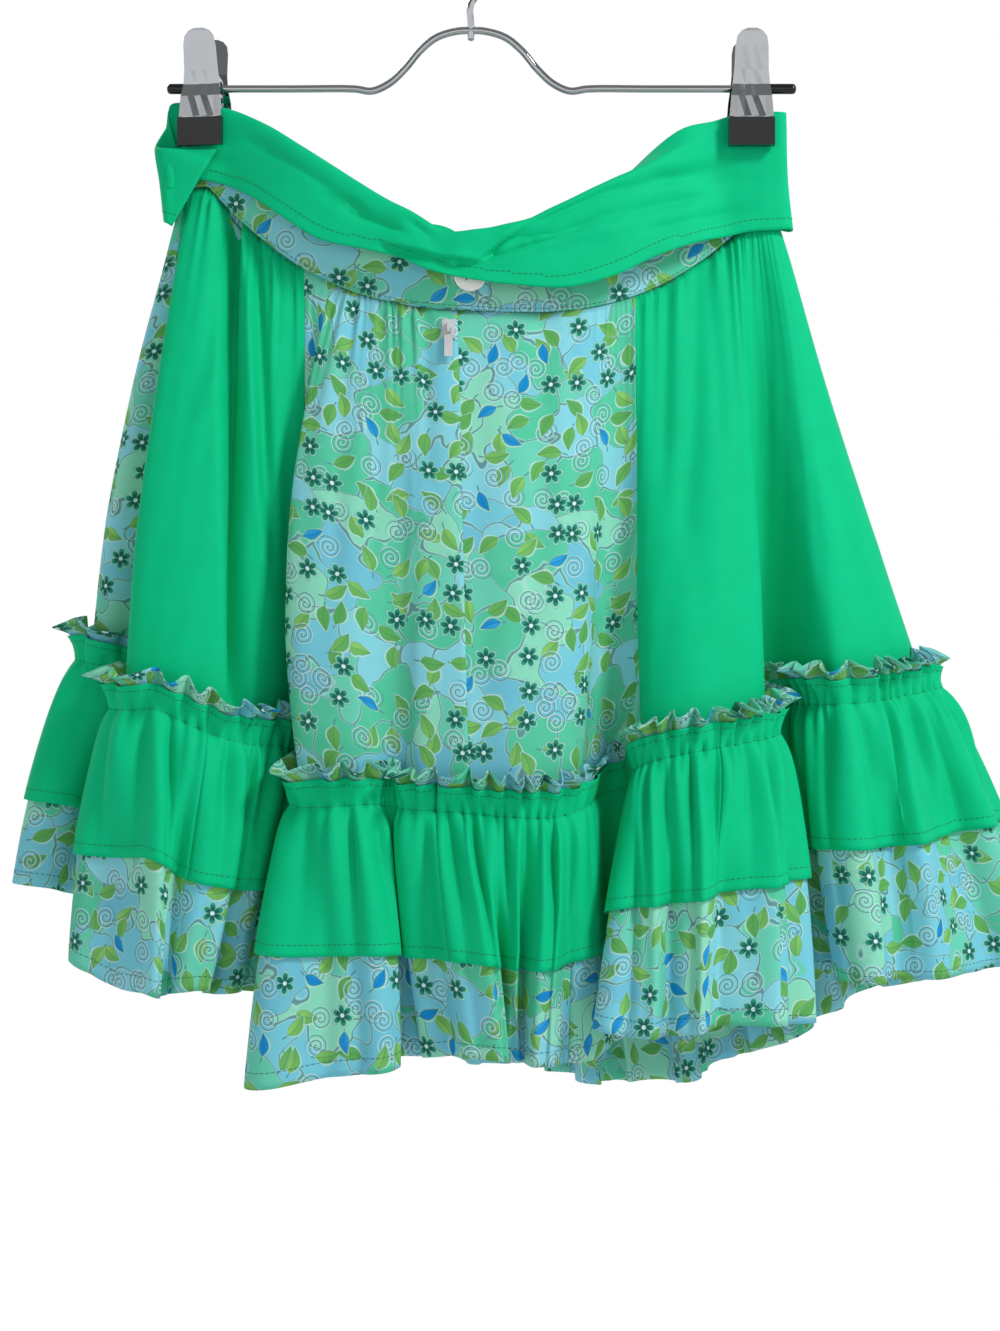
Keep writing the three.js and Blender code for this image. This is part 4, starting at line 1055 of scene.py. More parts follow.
    @staticmethod
    def _leaf(nodes: Nodes, at: MotifCell, leaf: LeafSizes) -> Inks:
        """A pointed leaf with a dark and a pale outline, two shades, a midrib and a curved stem.

        Args:
            nodes: the material's node tree.
            at: its coordinates.
            leaf: its sizes and inks.

        Returns:
            Pairs of mask and colour.
        """
        squared = nodes.add("Math", (at.x, 2.0), operation="POWER")
        bend = nodes.add("Math", (squared, 0.022), operation="MULTIPLY")
        bowed = nodes.add("Math", (at.y, bend), operation="SUBTRACT")
        side = nodes.add("Math", (bowed,), operation="ABSOLUTE")
        along = nodes.add("Math", (at.x, leaf.length), operation="DIVIDE")
        rounding = nodes.add("Math", (along, 2.0), operation="POWER")
        taper = nodes.add("Math", (1.0, rounding), operation="SUBTRACT")
        pointing = nodes.add("Math", (along, 0.35), operation="MULTIPLY")
        blunt = nodes.add("Math", (1.0, pointing), operation="SUBTRACT")
        lean = nodes.add("Math", (taper, blunt), operation="MULTIPLY")
        reach = nodes.add("Math", (lean, leaf.width), operation="MULTIPLY")
        edge = nodes.add("Math", (side, reach), operation="SUBTRACT")
        length = nodes.add("Math", (along,), operation="ABSOLUTE")
        ends = nodes.add("MapRange", (length, 1.02, 1.12, 1.0, 0.0), **FADE)
        inside = nodes.add("MapRange", (edge, -0.3, 0.0, 1.0, 0.0), **FADE)
        outline = nodes.add("MapRange", (edge, 0.1, 0.4, 1.0, 0.0), **FADE)
        dark = nodes.add("Math", (outline, ends), operation="MULTIPLY")
        slant = nodes.add("Math", (bowed, 0.12), operation="MULTIPLY")
        slanted = nodes.add("Math", (edge, slant), operation="ADD")
        halo = nodes.add("MapRange", (slanted, 0.55, 0.95, 1.0, 0.0), **FADE)
        pale = nodes.add("Math", (halo, ends), operation="MULTIPLY")
        tinted = {0: at.tint, 6: linear(leaf.dark), 7: linear(leaf.light)}
        fill = nodes.add("Mix", tinted, data_type="RGBA")
        lower = nodes.add("MapRange", (bowed, -0.6, 0.6, 1.0, 0.0), **FADE)
        half = nodes.add("Math", (lower, 0.5), operation="MULTIPLY")
        deeper = nodes.add("Mix", {0: half, 6: fill, 7: linear(leaf.dark)}, data_type="RGBA")
        tip = nodes.add("Math", (along, 0.4, 0.3), operation="MULTIPLY_ADD")
        shaded = nodes.add("Mix", {0: tip, 6: deeper, 7: linear(leaf.dark)}, data_type="RGBA")
        midrib = nodes.add("MapRange", (side, 0.12, 0.4, 1.0, 0.0), **FADE)
        rib = nodes.add("Math", (midrib, inside), operation="MULTIPLY")
        behind = nodes.add("Math", (along, -1.0), operation="MULTIPLY")
        root = nodes.add("MapRange", (along, -1.0, -0.9, 1.0, 0.0), **FADE)
        end = nodes.add("MapRange", (behind, 1.5, 1.6, 1.0, 0.0), **FADE)
        stem = nodes.add("Math", (root, end), operation="MULTIPLY")
        stalk = nodes.add("MapRange", (side, 0.25, 0.55, 1.0, 0.0), **FADE)
        return [
            (nodes.add("Math", (stalk, stem), operation="MULTIPLY"), linear(VINE)),
            (nodes.add("Math", (pale, 0.75), operation="MULTIPLY"), linear("#b9e2cf")),
            (nodes.add("Math", (dark, 0.8), operation="MULTIPLY"), linear("#4f8f6a")),
            (inside, shaded),
            (nodes.add("Math", (rib, 0.55), operation="MULTIPLY"), linear(leaf.vein)),
        ]

    @staticmethod
    def _flower(nodes: Nodes, at: MotifCell) -> Inks:
        """Six dark petals, each with a pale rim, round a pale eye.

        Args:
            nodes: the material's node tree.
            at: its coordinates.

        Returns:
            Pairs of mask and colour.
        """
        thrice = nodes.add("Math", (at.angle, 3.0), operation="MULTIPLY")
        wave = nodes.add("Math", (thrice,), operation="SINE")
        lobes = nodes.add("Math", (wave,), operation="ABSOLUTE")
        blunt = nodes.add("Math", (lobes, 0.55), operation="POWER")
        reach = nodes.add("Math", (blunt, 5.0, 1.6), operation="MULTIPLY_ADD")
        edge = nodes.add("Math", (at.radius, reach), operation="SUBTRACT")
        petal = nodes.add("MapRange", (edge, -1.0, -0.6, 1.0, 0.0), **FADE)
        rim = nodes.add("MapRange", (edge, -0.2, 0.25, 1.0, 0.0), **FADE)
        line = nodes.add("MapRange", (edge, 0.3, 0.7, 1.0, 0.0), **FADE)
        tinted = {0: at.tint, 6: linear("#2a8f78"), 7: linear("#3aa88e")}
        ink = nodes.add("Mix", tinted, data_type="RGBA")
        middle = nodes.add("MapRange", (at.radius, 2.5, 6.0, 1.0, 0.0), **FADE)
        dark = nodes.add("Mix", {0: middle, 6: ink, 7: linear("#166657")}, data_type="RGBA")
        return [
            (nodes.add("Math", (line, 0.4), operation="MULTIPLY"), linear("#4f8f86")),
            (nodes.add("Math", (rim, 0.75), operation="MULTIPLY"), linear("#a9dccb")),
            (petal, dark),
            (nodes.add("MapRange", (at.radius, 0.9, 1.4, 1.0, 0.0), **FADE), linear("#cfeef2")),
        ]

    @staticmethod
    def _scroll(nodes: Nodes, at: MotifCell) -> Inks:
        """A thin spiral with a pale line beside it.

        Args:
            nodes: the material's node tree.
            at: its coordinates.

        Returns:
            Pairs of mask and colour.
        """
        rings = nodes.add("Math", (at.radius, 2.6), operation="DIVIDE")
        turned = nodes.add("Math", (at.angle, 2 * math.pi), operation="DIVIDE")
        phase = nodes.add("Math", (rings, turned), operation="SUBTRACT")
        turn = nodes.add("Math", (phase,), operation="FRACT")
        inside = nodes.add("MapRange", (at.radius, 6.2, 6.6, 1.0, 0.0), **FADE)
        lines = ((0.76, 0.1, 0.2, 0.65, "#bfe3e2"), (0.5, 0.09, 0.17, 0.9, "#5f8f98"))
        inks = []
        for middle, low, high, share, ink in lines:
            off = nodes.add("Math", (turn, middle), operation="SUBTRACT")
            away = nodes.add("Math", (off,), operation="ABSOLUTE")
            line = nodes.add("MapRange", (away, low, high, 1.0, 0.0), **FADE)
            drawn = nodes.add("Math", (line, inside), operation="MULTIPLY")
            inks.append((nodes.add("Math", (drawn, share), operation="MULTIPLY"), linear(ink)))
        return inks


@dataclass(frozen=True)
class HardFinish:
    """Metal, rubber or resin: colour, gloss, and the fine unevenness that breaks its highlights.

    The scales of noise are per metre: 900 is grain of about 1 mm, 120 smudges of about 8 mm.
    """

    name: str
    colour: str
    roughness: float
    worn: str = "#1c1e20"
    metallic: float = 0.0
    grain: float = 0.05
    grain_scale: float = 900.0
    smudge_scale: float = 120.0
    coat: float = 0.0
    least_roughness: float = 0.02
    polished: float = 0.05
    dulled: float = 0.08

    def build(self) -> bpy.types.Material:
        """Makes the material.

        Returns:
            The material.
        """
        nodes = Nodes(bpy.data.materials.new(self.name))
        place = nodes.add("TexCoord").outputs["Object"]
        noise = nodes.add("TexNoise", {"Vector": place, "Scale": self.grain_scale, "Detail": 3.0})
        bump = nodes.add("Bump", {"Strength": self.grain, "Distance": 0.0002, "Height": noise})
        smudge = nodes.add("TexNoise", {"Vector": place, "Scale": self.smudge_scale, "Detail": 4.0})
        low, high = max(self.least_roughness, self.roughness - self.polished), self.roughness + self.dulled
        gloss = nodes.add("MapRange", (smudge, 0.35, 0.7, low, high))
        thin = nodes.add("Math", (noise, 0.3), operation="MULTIPLY")
        tone = nodes.add("Mix", {0: thin, 6: linear(self.colour), 7: linear(self.worn)}, data_type="RGBA")
        looks = {
            "Base Color": tone,
            "Roughness": gloss,
            "Metallic": self.metallic,
            "Coat Weight": self.coat,
            "Normal": bump,
        }
        nodes.feed(nodes.shader, looks)
        return nodes.owner


@dataclass
class Finishes:
    """All materials, named after what they are."""

    green: bpy.types.Material
    print: bpy.types.Material
    green_thread: bpy.types.Material
    print_thread: bpy.types.Material
    tape: bpy.types.Material
    chrome: bpy.types.Material
    rubber: bpy.types.Material
    resin: bpy.types.Material
    zip_metal: bpy.types.Material

    @classmethod
    def make(cls) -> "Finishes":
        """Builds every material once.

        Returns:
            The finishes.
        """
        return cls(
            # soft kelly-green cotton: even colour, low sheen, a fine weave that only shows close by
            green=WovenFinish("green_cotton", "#00c588", "#00ba7e").build(),
            # printed cotton: pale patches with leaves, flowers and scrolls at their real sizes
            print=PrintFinish("printed_cotton", "#9fd9c4", "#9fd9c4").build(),
            # polyester thread a shade darker than the green cloth
            green_thread=HardFinish("green_thread", "#067a50", 0.7, "#0a8a5c").build(),
            # dark grey-green thread that shows as a fine line on the print
            print_thread=HardFinish("dark_thread", "#2f5f5a", 0.7, "#3f6f63").build(),
            # woven zip tape behind the opening
            tape=HardFinish("zip_tape", "#5f9f93", 0.85, "#6fae9f").build(),
            # polished chrome plate with faint waviness
            chrome=HardFinish(
                "chrome_plate", "#b9bdc1", 0.06, "#a8acb0", metallic=1.0, grain=0.08, grain_scale=70.0
            ).build(),
            # black vinyl dip: soft highlights
            rubber=HardFinish("black_vinyl", "#07080b", 0.24, grain=0.1, grain_scale=400.0).build(),
            # polished white shirt button
            resin=HardFinish("white_resin", "#f8f8f6", 0.22, "#f0f0ec", coat=0.3).build(),
            # bright zip metal
            zip_metal=HardFinish(
                "zip_metal", "#dfe3e6", 0.35, "#dfe3e6", metallic=0.5, grain=0.0, grain_scale=60.0
            ).build(),
        )

    def cloth(self, cloth: Cloth) -> bpy.types.Material:
        """The material of a cloth."""
        return self.green if cloth is Cloth.GREEN else self.print


# ---------------------------------------------------------------- gores


@dataclass(frozen=True)
class SoftFold:
    """A trough (positive depth) or ridge pressed into the cloth along a line on the ring.

    Attributes:
        start, end: fold name, shift in folds, share of the hang.
        width: half width in millimetres.
        depth: how far the cloth goes in.
    """

    start: tuple[str, float, float]
    end: tuple[str, float, float]
    width: float
    depth: float


SOFT_FOLDS = (
    # left green gore: the dark fold under the sash and the creases beside it
    SoftFold(("left_b", 0.2, 0.0), ("left_c", 0.7, 0.98), 5.5, 16.0),
    SoftFold(("left_c", 0.5, 0.02), ("left_d", 0.7, 0.6), 4.5, 5.0),
    SoftFold(("left_c", 0.0, 0.05), ("left_d", 0.4, 0.7), 4.5, -2.5),
    SoftFold(("left_b", 0.1, 0.02), ("left_b", -0.1, 0.3), 5, 2.2),
    SoftFold(("left_a", 0.6, 0.3), ("left_a", -0.1, 0.85), 9, 1.6),
    SoftFold(("left_b", 0.9, 0.2), ("left_a", 0.3, 0.55), 7, -1.5),
    SoftFold(("left_e", 0.1, 0.0), ("left_e", 0.3, 0.7), 6, 2.0),
    # back print gore: short gathers and long soft folds
    SoftFold(("back_fold", 0.5, 0.0), ("back_fold", 0.4, 0.4), 5, 2.0),
    SoftFold(("back_a", 0.5, 0.0), ("back_a", 0.5, 0.6), 6, 2.2),
    SoftFold(("back_b", 0.4, 0.0), ("back_b", 0.5, 0.3), 4, 1.5),
    SoftFold(("back_c", 0.3, 0.0), ("back_c", 0.4, 0.35), 5, 1.6),
    SoftFold(("seam_zip", 0.35, 0.05), ("seam_zip", 0.5, 1.0), 9, 1.6),
    SoftFold(("back_d", 0.45, 0.0), ("back_d", 0.5, 0.8), 8, 1.8),
    SoftFold(("back_e", 0.3, 0.1), ("back_e", 0.5, 0.9), 7, 1.3),
    # right green gore
    SoftFold(("right_a", 0.35, 0.0), ("right_a", 0.3, 0.45), 6, 3.0),
    SoftFold(("right_b", 0.2, 0.0), ("right_b", 0.0, 0.55), 7, 2.6),
    SoftFold(("right_b", 0.65, 0.0), ("right_b", 0.75, 0.4), 6, 2.8),
    SoftFold(("right_c", 0.3, 0.0), ("right_c", 0.2, 0.35), 5, 2.4),
    SoftFold(("right_b", 0.1, 0.55), ("right_b", 0.9, 0.62), 5, 1.1),
    SoftFold(("right_a", 0.6, 0.35), ("right_b", 0.4, 0.8), 8, 1.3),
    SoftFold(("right_d", 0.4, 0.1), ("right_e", 0.4, 0.8), 8, 1.8),
    SoftFold(("right_f", 0.1, 0.3), ("right_f", 0.7, 0.95), 9, 2.0),
    # left-far print gore and the far side
    SoftFold(("left_side", 0.4, 0.1), ("left_side", 0.6, 0.9), 6, 1.4),
    SoftFold(("right_side", 1.4, 0.0), ("right_side", 1.6, 0.6), 8, 2.2),
    SoftFold(("right_side", 3.3, 0.0), ("right_side", 3.6, 0.8), 9, 2.6),
    SoftFold(("right_side", 5.5, 0.05), ("right_side", 5.2, 0.6), 7, 2.0),
    SoftFold(("right_side", 7.6, 0.0), ("right_side", 7.4, 0.9), 9, 2.4),
    SoftFold(("right_side", 9.4, 0.1), ("right_side", 9.8, 0.7), 8, 2.0),
    SoftFold(("right_side", 11.5, 0.0), ("right_side", 11.3, 0.5), 7, 2.4),
    SoftFold(("right_side", 13.6, 0.1), ("right_side", 13.3, 0.9), 9, 2.2),
    SoftFold(("right_side", 15.5, 0.0), ("right_side", 15.6, 0.6), 8, 1.8),
)


@dataclass
class GoreSet:
    """The six gores, the centre-back one in two halves.

    Attributes:
        columns_per_fold, rows: how fine the meshes are.
        seam_share, seam_gap: the room left at a seam, in folds, and under the waistband, in millimetres.
        lap, lap_lift: how far the zip's lap reaches over, in folds, and how high it lies, in millimetres.
        tuck_pitch, tuck_wander, tuck_depth: number, unevenness and depth of the tucks under the band.
        tuck_reach, pucker_reach: how far down they fade, and how much that varies, in millimetres.
        pucker_depth: depth of the finer puckers between the tucks.
        band_reach, band_rise: how far down the gathered fullness fades and how soon it rises.
        free_width: the width of cloth to a fold that leaves room for full depth.
        unevenness: slow waves of the hanging cloth.
    """

    finishes: Finishes
    columns_per_fold: int = 12
    rows: int = 66
    seam_share: float = 0.004
    seam_gap: float = 0.4
    lap: float = 0.16
    lap_lift: float = 0.7
    tuck_pitch: float = 1.45
    tuck_wander: float = 0.55
    tuck_depth: float = 2.3
    tuck_reach: tuple = (42, 26)
    pucker_depth: float = 1.1
    pucker_reach: tuple = (11, 5)
    band_reach: float = 90
    band_rise: float = 6
    free_width: float = 14
    unevenness: float = 0.5

    def surface(
        self, place: np.ndarray, share: np.ndarray, distance: "float | np.ndarray" = 0.0
    ) -> np.ndarray:
        """Points of the gores with their gathers and soft folds.

        Args:
            place: places round the ring.
            share: share of the way from the waist seam to the gather line.
            distance: how far the cloth lies outside the gore.

        Returns:
            Points in millimetres.
        """
        normal, _ = FORM.bend(lambda p: FORM.gore(p, np.maximum(share, 0.02)), place)
        point = FORM.gore(place, share)
        hang = FORM.at(place, "hang")
        down = share * hang
        strength = np.clip(FORM.at(place, "gather"), 0, 1.2)
        width = np.linalg.norm(FORM.gore(place + 0.5, share) - FORM.gore(place - 0.5, share), axis=-1)
        phase = place * self.tuck_pitch + self.tuck_wander * ripple(place * 0.5, 3)
        fade = self.tuck_reach[0] + self.tuck_reach[1] * ripple(place * 0.7, 5)
        tuck = np.cos(2 * np.pi * phase) * np.exp(-down / fade)
        fade = self.pucker_reach[0] + self.pucker_reach[1] * ripple(place * 1.3, 2)
        pucker = np.cos(2 * np.pi * (phase * 2 + 0.4 * ripple(place * 0.9, 8))) * np.exp(-down / fade)
        room = np.clip(width / self.free_width, 0, 1)
        full = self.tuck_depth * (1 + tuck) * np.exp(-down / self.band_reach)
        full = full * smooth_step(down, 0, self.band_rise)
        depth = strength * room * (full + self.pucker_depth * pucker)
        for fold in SOFT_FOLDS:
            depth = depth - self._pressed(fold, place, share, width)
        depth = depth + self.unevenness * ripple(place * 0.8 + share * 1.3, 1) * np.clip(share * 3, 0, 1) * room
        drawn = np.clip((share - GORE_SEAT_FROM) / (1 - GORE_SEAT_FROM), 0, 1)
        return point + normal * (distance + depth - GORE_SEAT * drawn)[..., None]

    @staticmethod
    def _pressed(fold: SoftFold, place: np.ndarray, share: np.ndarray, width: np.ndarray) -> np.ndarray:
        """How far one soft fold presses the cloth in.

        Args:
            fold: the soft fold.
            place, share: where to read it.
            width: width of cloth to one fold of the ring.

        Returns:
            The depth, in millimetres.
        """
        start = FORM.place(fold.start[0]) + fold.start[1]
        end = FORM.place(fold.end[0]) + fold.end[1]
        low, high = fold.start[2], fold.end[2]
        along = np.clip((share - low) / (high - low), -0.3, 1.3)
        middle = start + (end - start) * along
        wrapped = (place - middle + FORM.count / 2) % FORM.count - FORM.count / 2
        off = wrapped * np.maximum(width, 4)
        fade = smooth_step(share, low - 0.08, low + 0.1) if low > 0.03 else 1.0
        fade = fade * (1 - smooth_step(share, high - 0.18, high + 0.1))
        return fold.depth * fade * np.exp(-((off / fold.width) ** 2))

    def build(self) -> None:
        for node, first, last, cloth in GORES:
            start = FORM.place(first)
            end = FORM.place(last)
            end = end if end > start else end + FORM.count
            columns = max(24, int((end - start) * self.columns_per_fold))
            lapped = self.lap if last == "seam_zip" else -self.seam_share
            place = np.linspace(start + self.seam_share, end + lapped, columns)[:, None]
            share = np.linspace(0.0, 1 + GORE_TAIL, self.rows)[None, :]
            place, share = np.broadcast_arrays(place, share)
            zip_place = FORM.place("seam_zip")
            lifted = self.lap_lift * smooth_step(place, zip_place - 0.5, zip_place) * (lapped > 0)
            points = self.surface(place, share, lifted)
            up, _ = FORM.waist_frame(FORM.at(place[:, :1], "turn"))
            points = points - up * (self.seam_gap * np.exp(-share / 0.02))[..., None]
            u = run_length(points, 0)
            u = u - u[len(u) // 2]
            v = -run_length(points, 1)
            grid = ClothGrid(points, np.stack([u, v], -1))
            piece = grid.build("cloth_" + node, cloth, self.finishes.cloth(cloth))
            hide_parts(node)
            width, length, area = grid.size()
            widest = max(u[-1].max() - u[0].min(), width * MM_PER_METRE) * MM
            declare_cut(piece, widest, length, area)


# ---------------------------------------------------------------- flounces


@dataclass(frozen=True)
class Gathers:
    """One set of folds in a flounce.

    Attributes:
        pitch: folds to one gather of the solid's ring.
        wander: how unevenly they are spaced, in folds.
        seed: tells one set from another.
        lean: how far each fold's crest leans along the ring, as a share of what would fold it over.
        length: length of one fold along the ring in millimetres, which limits its lean.
        stand: how far the set stands out of the ring, as a share of its depth.
    """

    pitch: float
    wander: float
    seed: float
    lean: float
    length: float
    stand: float

    def at(self, phase: np.ndarray) -> tuple[np.ndarray, np.ndarray]:
        """Height of the folds between -1 and 1, and how far their crests lean to one side.

        Args:
            phase: running number of gathers.

        Returns:
            The height and the lean.
        """
        wander = self.wander * ripple(phase * self.pitch * 0.37, self.seed)
        wave = 2.1 * np.sqrt(np.sin(np.pi * (phase * self.pitch + wander)) ** 2 + 0.01) - 1.2
        side = np.tanh(2 * ripple(phase * self.pitch * 0.19, self.seed + 5))
        return wave, self.lean * side * wave


FRILLS = Gathers(2.6, 0.3, 2.0, 0.4, 8.0, 0.9)
HEADER_FRILLS = Gathers(1.45, 0.34, 4.0, 0.8, 20.0, 0.6)
GATHER_FOLDS = Gathers(1.15, 0.36, 7.0, 0.6, 22.0, 0.5)
HEM_FOLDS = Gathers(0.55, 0.36, 11.0, 0.8, 50.0, 0.0)
# how far apart the strips lie on the print, so that each shows another part of it
STRIP_SHIFT = 400


@dataclass
class FlounceSet:
    """The print flounce and the green one over it, each of six joined strips.

    Attributes:
        frill_depth, gather_depth, hem_depth, header_depth: full height of each set of folds.
        frill_reach, header_morph: how far below and above the gather line the frills fade.
        gather_reach, loose_from, loose_to: where the gathers grow, and where they run into the hem's folds.
        lost_gathers: share of the gathers that is lost where the cloth hangs loose.
        header_roll: how far a header's crests roll down, as a share of their height.
        pinch, pinch_reach, pinch_room: how the cloth swells beside the stitching.
        flop: how far the header's edge falls outward.
        join: half the gap at a join of two strips, in folds.
        columns_per_gather, even_share: how fine the mesh is, and how much of that goes by folds of the ring.
        meeting: folds over which the gathers' two ends are blended where the ring closes.
        room_steps, room_most: where the ring's bend is read round a place, and the most room that counts.
        tight_room, print_sink: the room below which the print flounce draws back, and how far.
        header_rows, print_rows, green_rows: rows of the mesh above and below the gather line.
        row_crowding: how much closer the rows lie near the gather line.
        hem_turning: from the hem to its stitches.
        edge_turning: from the header's edge to its stitches.
    """

    finishes: Finishes
    frill_depth: float = 2.0
    gather_depth: float = 5.0
    hem_depth: float = 8.2
    header_depth: float = 8.5
    frill_reach: float = 15
    header_morph: float = 9.0
    gather_reach: float = 9
    loose_from: float = 12
    loose_to: float = 80
    lost_gathers: float = 0.6
    header_roll: float = 0.55
    pinch: float = 2.2
    pinch_reach: float = 5
    pinch_room: float = 6
    flop: float = 6.5
    join: float = 0.003
    columns_per_gather: int = 14
    even_share: float = 0.4
    meeting: float = 2.5
    room_steps: tuple = (0.0, -0.45, -0.22, 0.22, 0.45)
    room_most: float = 18.0
    tight_room: float = 5.0
    print_sink: float = 3.0
    header_rows: int = 15
    print_rows: int = 40
    green_rows: int = 30
    row_crowding: float = 1.15
    hem_turning: float = 6.5
    edge_turning: float = 4

    def folds(self, place: np.ndarray, drop: np.ndarray, room: np.ndarray) -> tuple[np.ndarray, np.ndarray]:
        """Depth and lean of the folds at a drop below the gather line.

        Args:
            place: fold places round the ring.
            drop: length of cloth below the gather line, negative in the header.
            room: the deepest half depth that stays clear of the ring's own folds.

        Returns:
            How far the cloth stands out and how far it leans along the ring, in millimetres.
        """
        ring = place % FORM.count
        meet = smooth_step(ring, FORM.count - self.meeting, FORM.count)[..., None]
        here = self._folds_at(FORM.gather_phase(ring), place, drop, room)
        before = self._folds_at(FORM.gather_phase(ring - FORM.count), place, drop, room)
        both = here * (1 - meet) + before * meet
        return both[..., 0], both[..., 1]

    def _folds_at(self, phase: np.ndarray, place: np.ndarray, drop: np.ndarray, room: np.ndarray) -> np.ndarray:
        """Depth and lean of the folds for a running number of gathers.

        Args:
            phase: running number of gathers.
            place, drop, room: as for folds.

        Returns:
            Depth and lean in the last axis.
        """
        ruffle = np.clip(FORM.at(place, "ruffle"), 0, 1)
        below, above = np.maximum(drop, 0), np.maximum(-drop, 0)
        frill, frill_lean = FRILLS.at(phase)
        header, header_lean = HEADER_FRILLS.at(phase)
        gather, gather_lean = GATHER_FOLDS.at(phase)
        hem, hem_lean = HEM_FOLDS.at(phase)
        loose = smooth_step(below, self.loose_from, self.loose_to)
        frilled = self.frill_depth * np.exp(-below / self.frill_reach) * np.exp(-above / self.header_morph)
        headed = self.header_depth * smooth_step(above, 0, 1.2 * FLOUNCE.print_header)
        gathered = self.gather_depth * (1 - np.exp(-below / self.gather_reach)) * (1 - self.lost_gathers * loose)
        parts = (
            (frilled, frill, frill_lean, FRILLS),
            (headed, header, header_lean, HEADER_FRILLS),
            (gathered, gather, gather_lean, GATHER_FOLDS),
            (self.hem_depth * loose, hem, hem_lean, HEM_FOLDS),
        )
        whole = sum(size for size, *_ in parts) * ruffle
        fit = ruffle * np.minimum(1, room / np.maximum(whole, 1e-3))
        depth = self.pinch * (1 - np.exp(-np.abs(drop) / self.pinch_reach))
        depth = depth * np.clip(room / self.pinch_room, 0, 1)
        shift = np.zeros_like(drop)
        for size, wave, lean, kind in parts:
            depth = depth + size * fit * (kind.stand + wave)
            shift = shift + lean * np.minimum(size, kind.length / 12) * fit
        return np.stack([depth, shift], -1)

    def _room(self, place: np.ndarray, drop: np.ndarray) -> np.ndarray:
        """How deep a fold may go before it meets the ring's own folds, evened out along the ring.

        Args:
            place, drop: where to read it.

        Returns:
            The room, in millimetres.
        """
        tries = []
        for step in self.room_steps:
            _, radius = FORM.bend(lambda p: FORM.flounce(p, drop), place + step)
            tries.append(np.clip(FLOUNCE.closeness * radius - FLOUNCE.solid_lift, 0, self.room_most))
        return np.minimum(tries[0], np.mean(tries, axis=0))

    def surface(self, place: np.ndarray, drop: np.ndarray, lift: float, sink: float = 0.0) -> np.ndarray:
        """Points of a flounce: fine gathers on the stitching that run together into broad folds at the hem.

        Args:
            place: places round the ring.
            drop: length of cloth below the gather line.
            lift: how far the flounce lies outside the gores.
            sink: how far it draws back in the ring's tightest folds.

        Returns:
            Points in millimetres.
        """
        normal, _ = FORM.bend(lambda p: FORM.flounce(p, drop), place)
        along = np.stack([-normal[..., 1], normal[..., 0], normal[..., 2]], -1)
        room = self._room(place, drop)
        depth, shift = self.folds(place, drop, room)
        shift = shift * np.clip(room / self.room_most, 0, 1) ** 2
        ruffle = np.clip(FORM.at(place, "ruffle"), 0, 1)
        header = np.clip(-drop / FLOUNCE.print_header, 0, 1.1)
        fallen = np.clip(drop / FORM.at(place, "fall"), 0, 1)
        bell = FLOUNCE.bell * 4 * fallen * (1 - fallen) * ruffle
        phase = FORM.gather_phase(place)
        edge = FLOUNCE.print_header - FLOUNCE.green_header
        curl = np.clip((-drop - FLOUNCE.green_header) / edge, 0, 1.1) ** 1.5
        flop = self.flop * curl * np.clip(0.75 + 0.8 * ripple(phase * 0.45, 13), 0.1, 1.6)
        lean = np.minimum(FLOUNCE.header_flare * header + flop + bell, room)
        tight = (1 - np.clip(room / self.tight_room, 0, 1)) * smooth_step(drop, 10, 30)
        out = lift + depth + lean - sink * tight
        point = FORM.flounce(place, drop) + normal * out[..., None] + along * shift[..., None]
        rolled = self.header_roll * np.maximum(depth - self.pinch, 0) * np.clip(header, 0, 1)
        point[..., 2] -= 0.35 * flop + rolled
        return point

    def build(self, cloth: Cloth, threads: Stitching, gather_threads: "Stitching | None") -> None:
        """Makes the strips of one flounce.

        Args:
            cloth: which flounce.
            threads: takes the hem's stitches.
            gather_threads: takes the stitches on the gather line, for the outer flounce.
        """
        joins = [FORM.place(fold) + share for fold, share in STRIP_JOINS[cloth]]
        printed = cloth is Cloth.PRINT
        lift = FLOUNCE.print_lift if printed else FLOUNCE.green_lift
        header = FLOUNCE.print_header if printed else FLOUNCE.green_header
        for number, start in enumerate(joins):
            end = joins[number + 1] if number + 1 < len(joins) else joins[0] + FORM.count
            gathers = float(FORM.gather_phase(np.array(end)) - FORM.gather_phase(np.array(start)))
            columns = int(gathers * self.columns_per_gather)
            tried = np.linspace(start + self.join, end - self.join, 8 * columns)
            spread = FORM.gather_phase(tried) + self.even_share * tried
            place = np.interp(np.linspace(spread[0], spread[-1], columns), spread, tried)
            fall = FORM.at(place, "fall") if printed else np.full(columns, FLOUNCE.green_fall)
            top = -header * (1 + 0.05 * ripple(FORM.gather_phase(place) * 0.7, 9))
            rows = self.print_rows if printed else self.green_rows
            above = np.linspace(0, 1, self.header_rows + 1)[:-1] - 1
            level = np.concatenate([above, np.linspace(0, 1, rows) ** self.row_crowding])
            drop = np.where(level[None, :] < 0, -top[:, None] * level[None, :], fall[:, None] * level[None, :])
            places = np.broadcast_to(place[:, None], drop.shape)
            points = self.surface(places, drop, lift, self.print_sink if printed else 0.0)
            u = run_length(points[:, -1:], 0)
            uv = np.stack([np.broadcast_to(u, drop.shape) + STRIP_SHIFT * number, -drop], -1)
            grid = ClothGrid(points, uv, 0.5)
            node = f"flounce_{'print' if printed else 'green'}_{number + 1}"
            piece = grid.build("cloth_" + node, cloth, self.finishes.cloth(cloth))
            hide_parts(node)
            width, length, area = grid.size()
            declare_cut(piece, width, length, area)
            normals = grid_normals(points)
            hem = np.argmin(np.abs(drop[0] - (fall[0] - self.hem_turning)))
            threads.sew(points[:, hem], normals[:, hem])
            if gather_threads is not None:
                gather_threads.sew(points[:, self.header_rows], normals[:, self.header_rows])
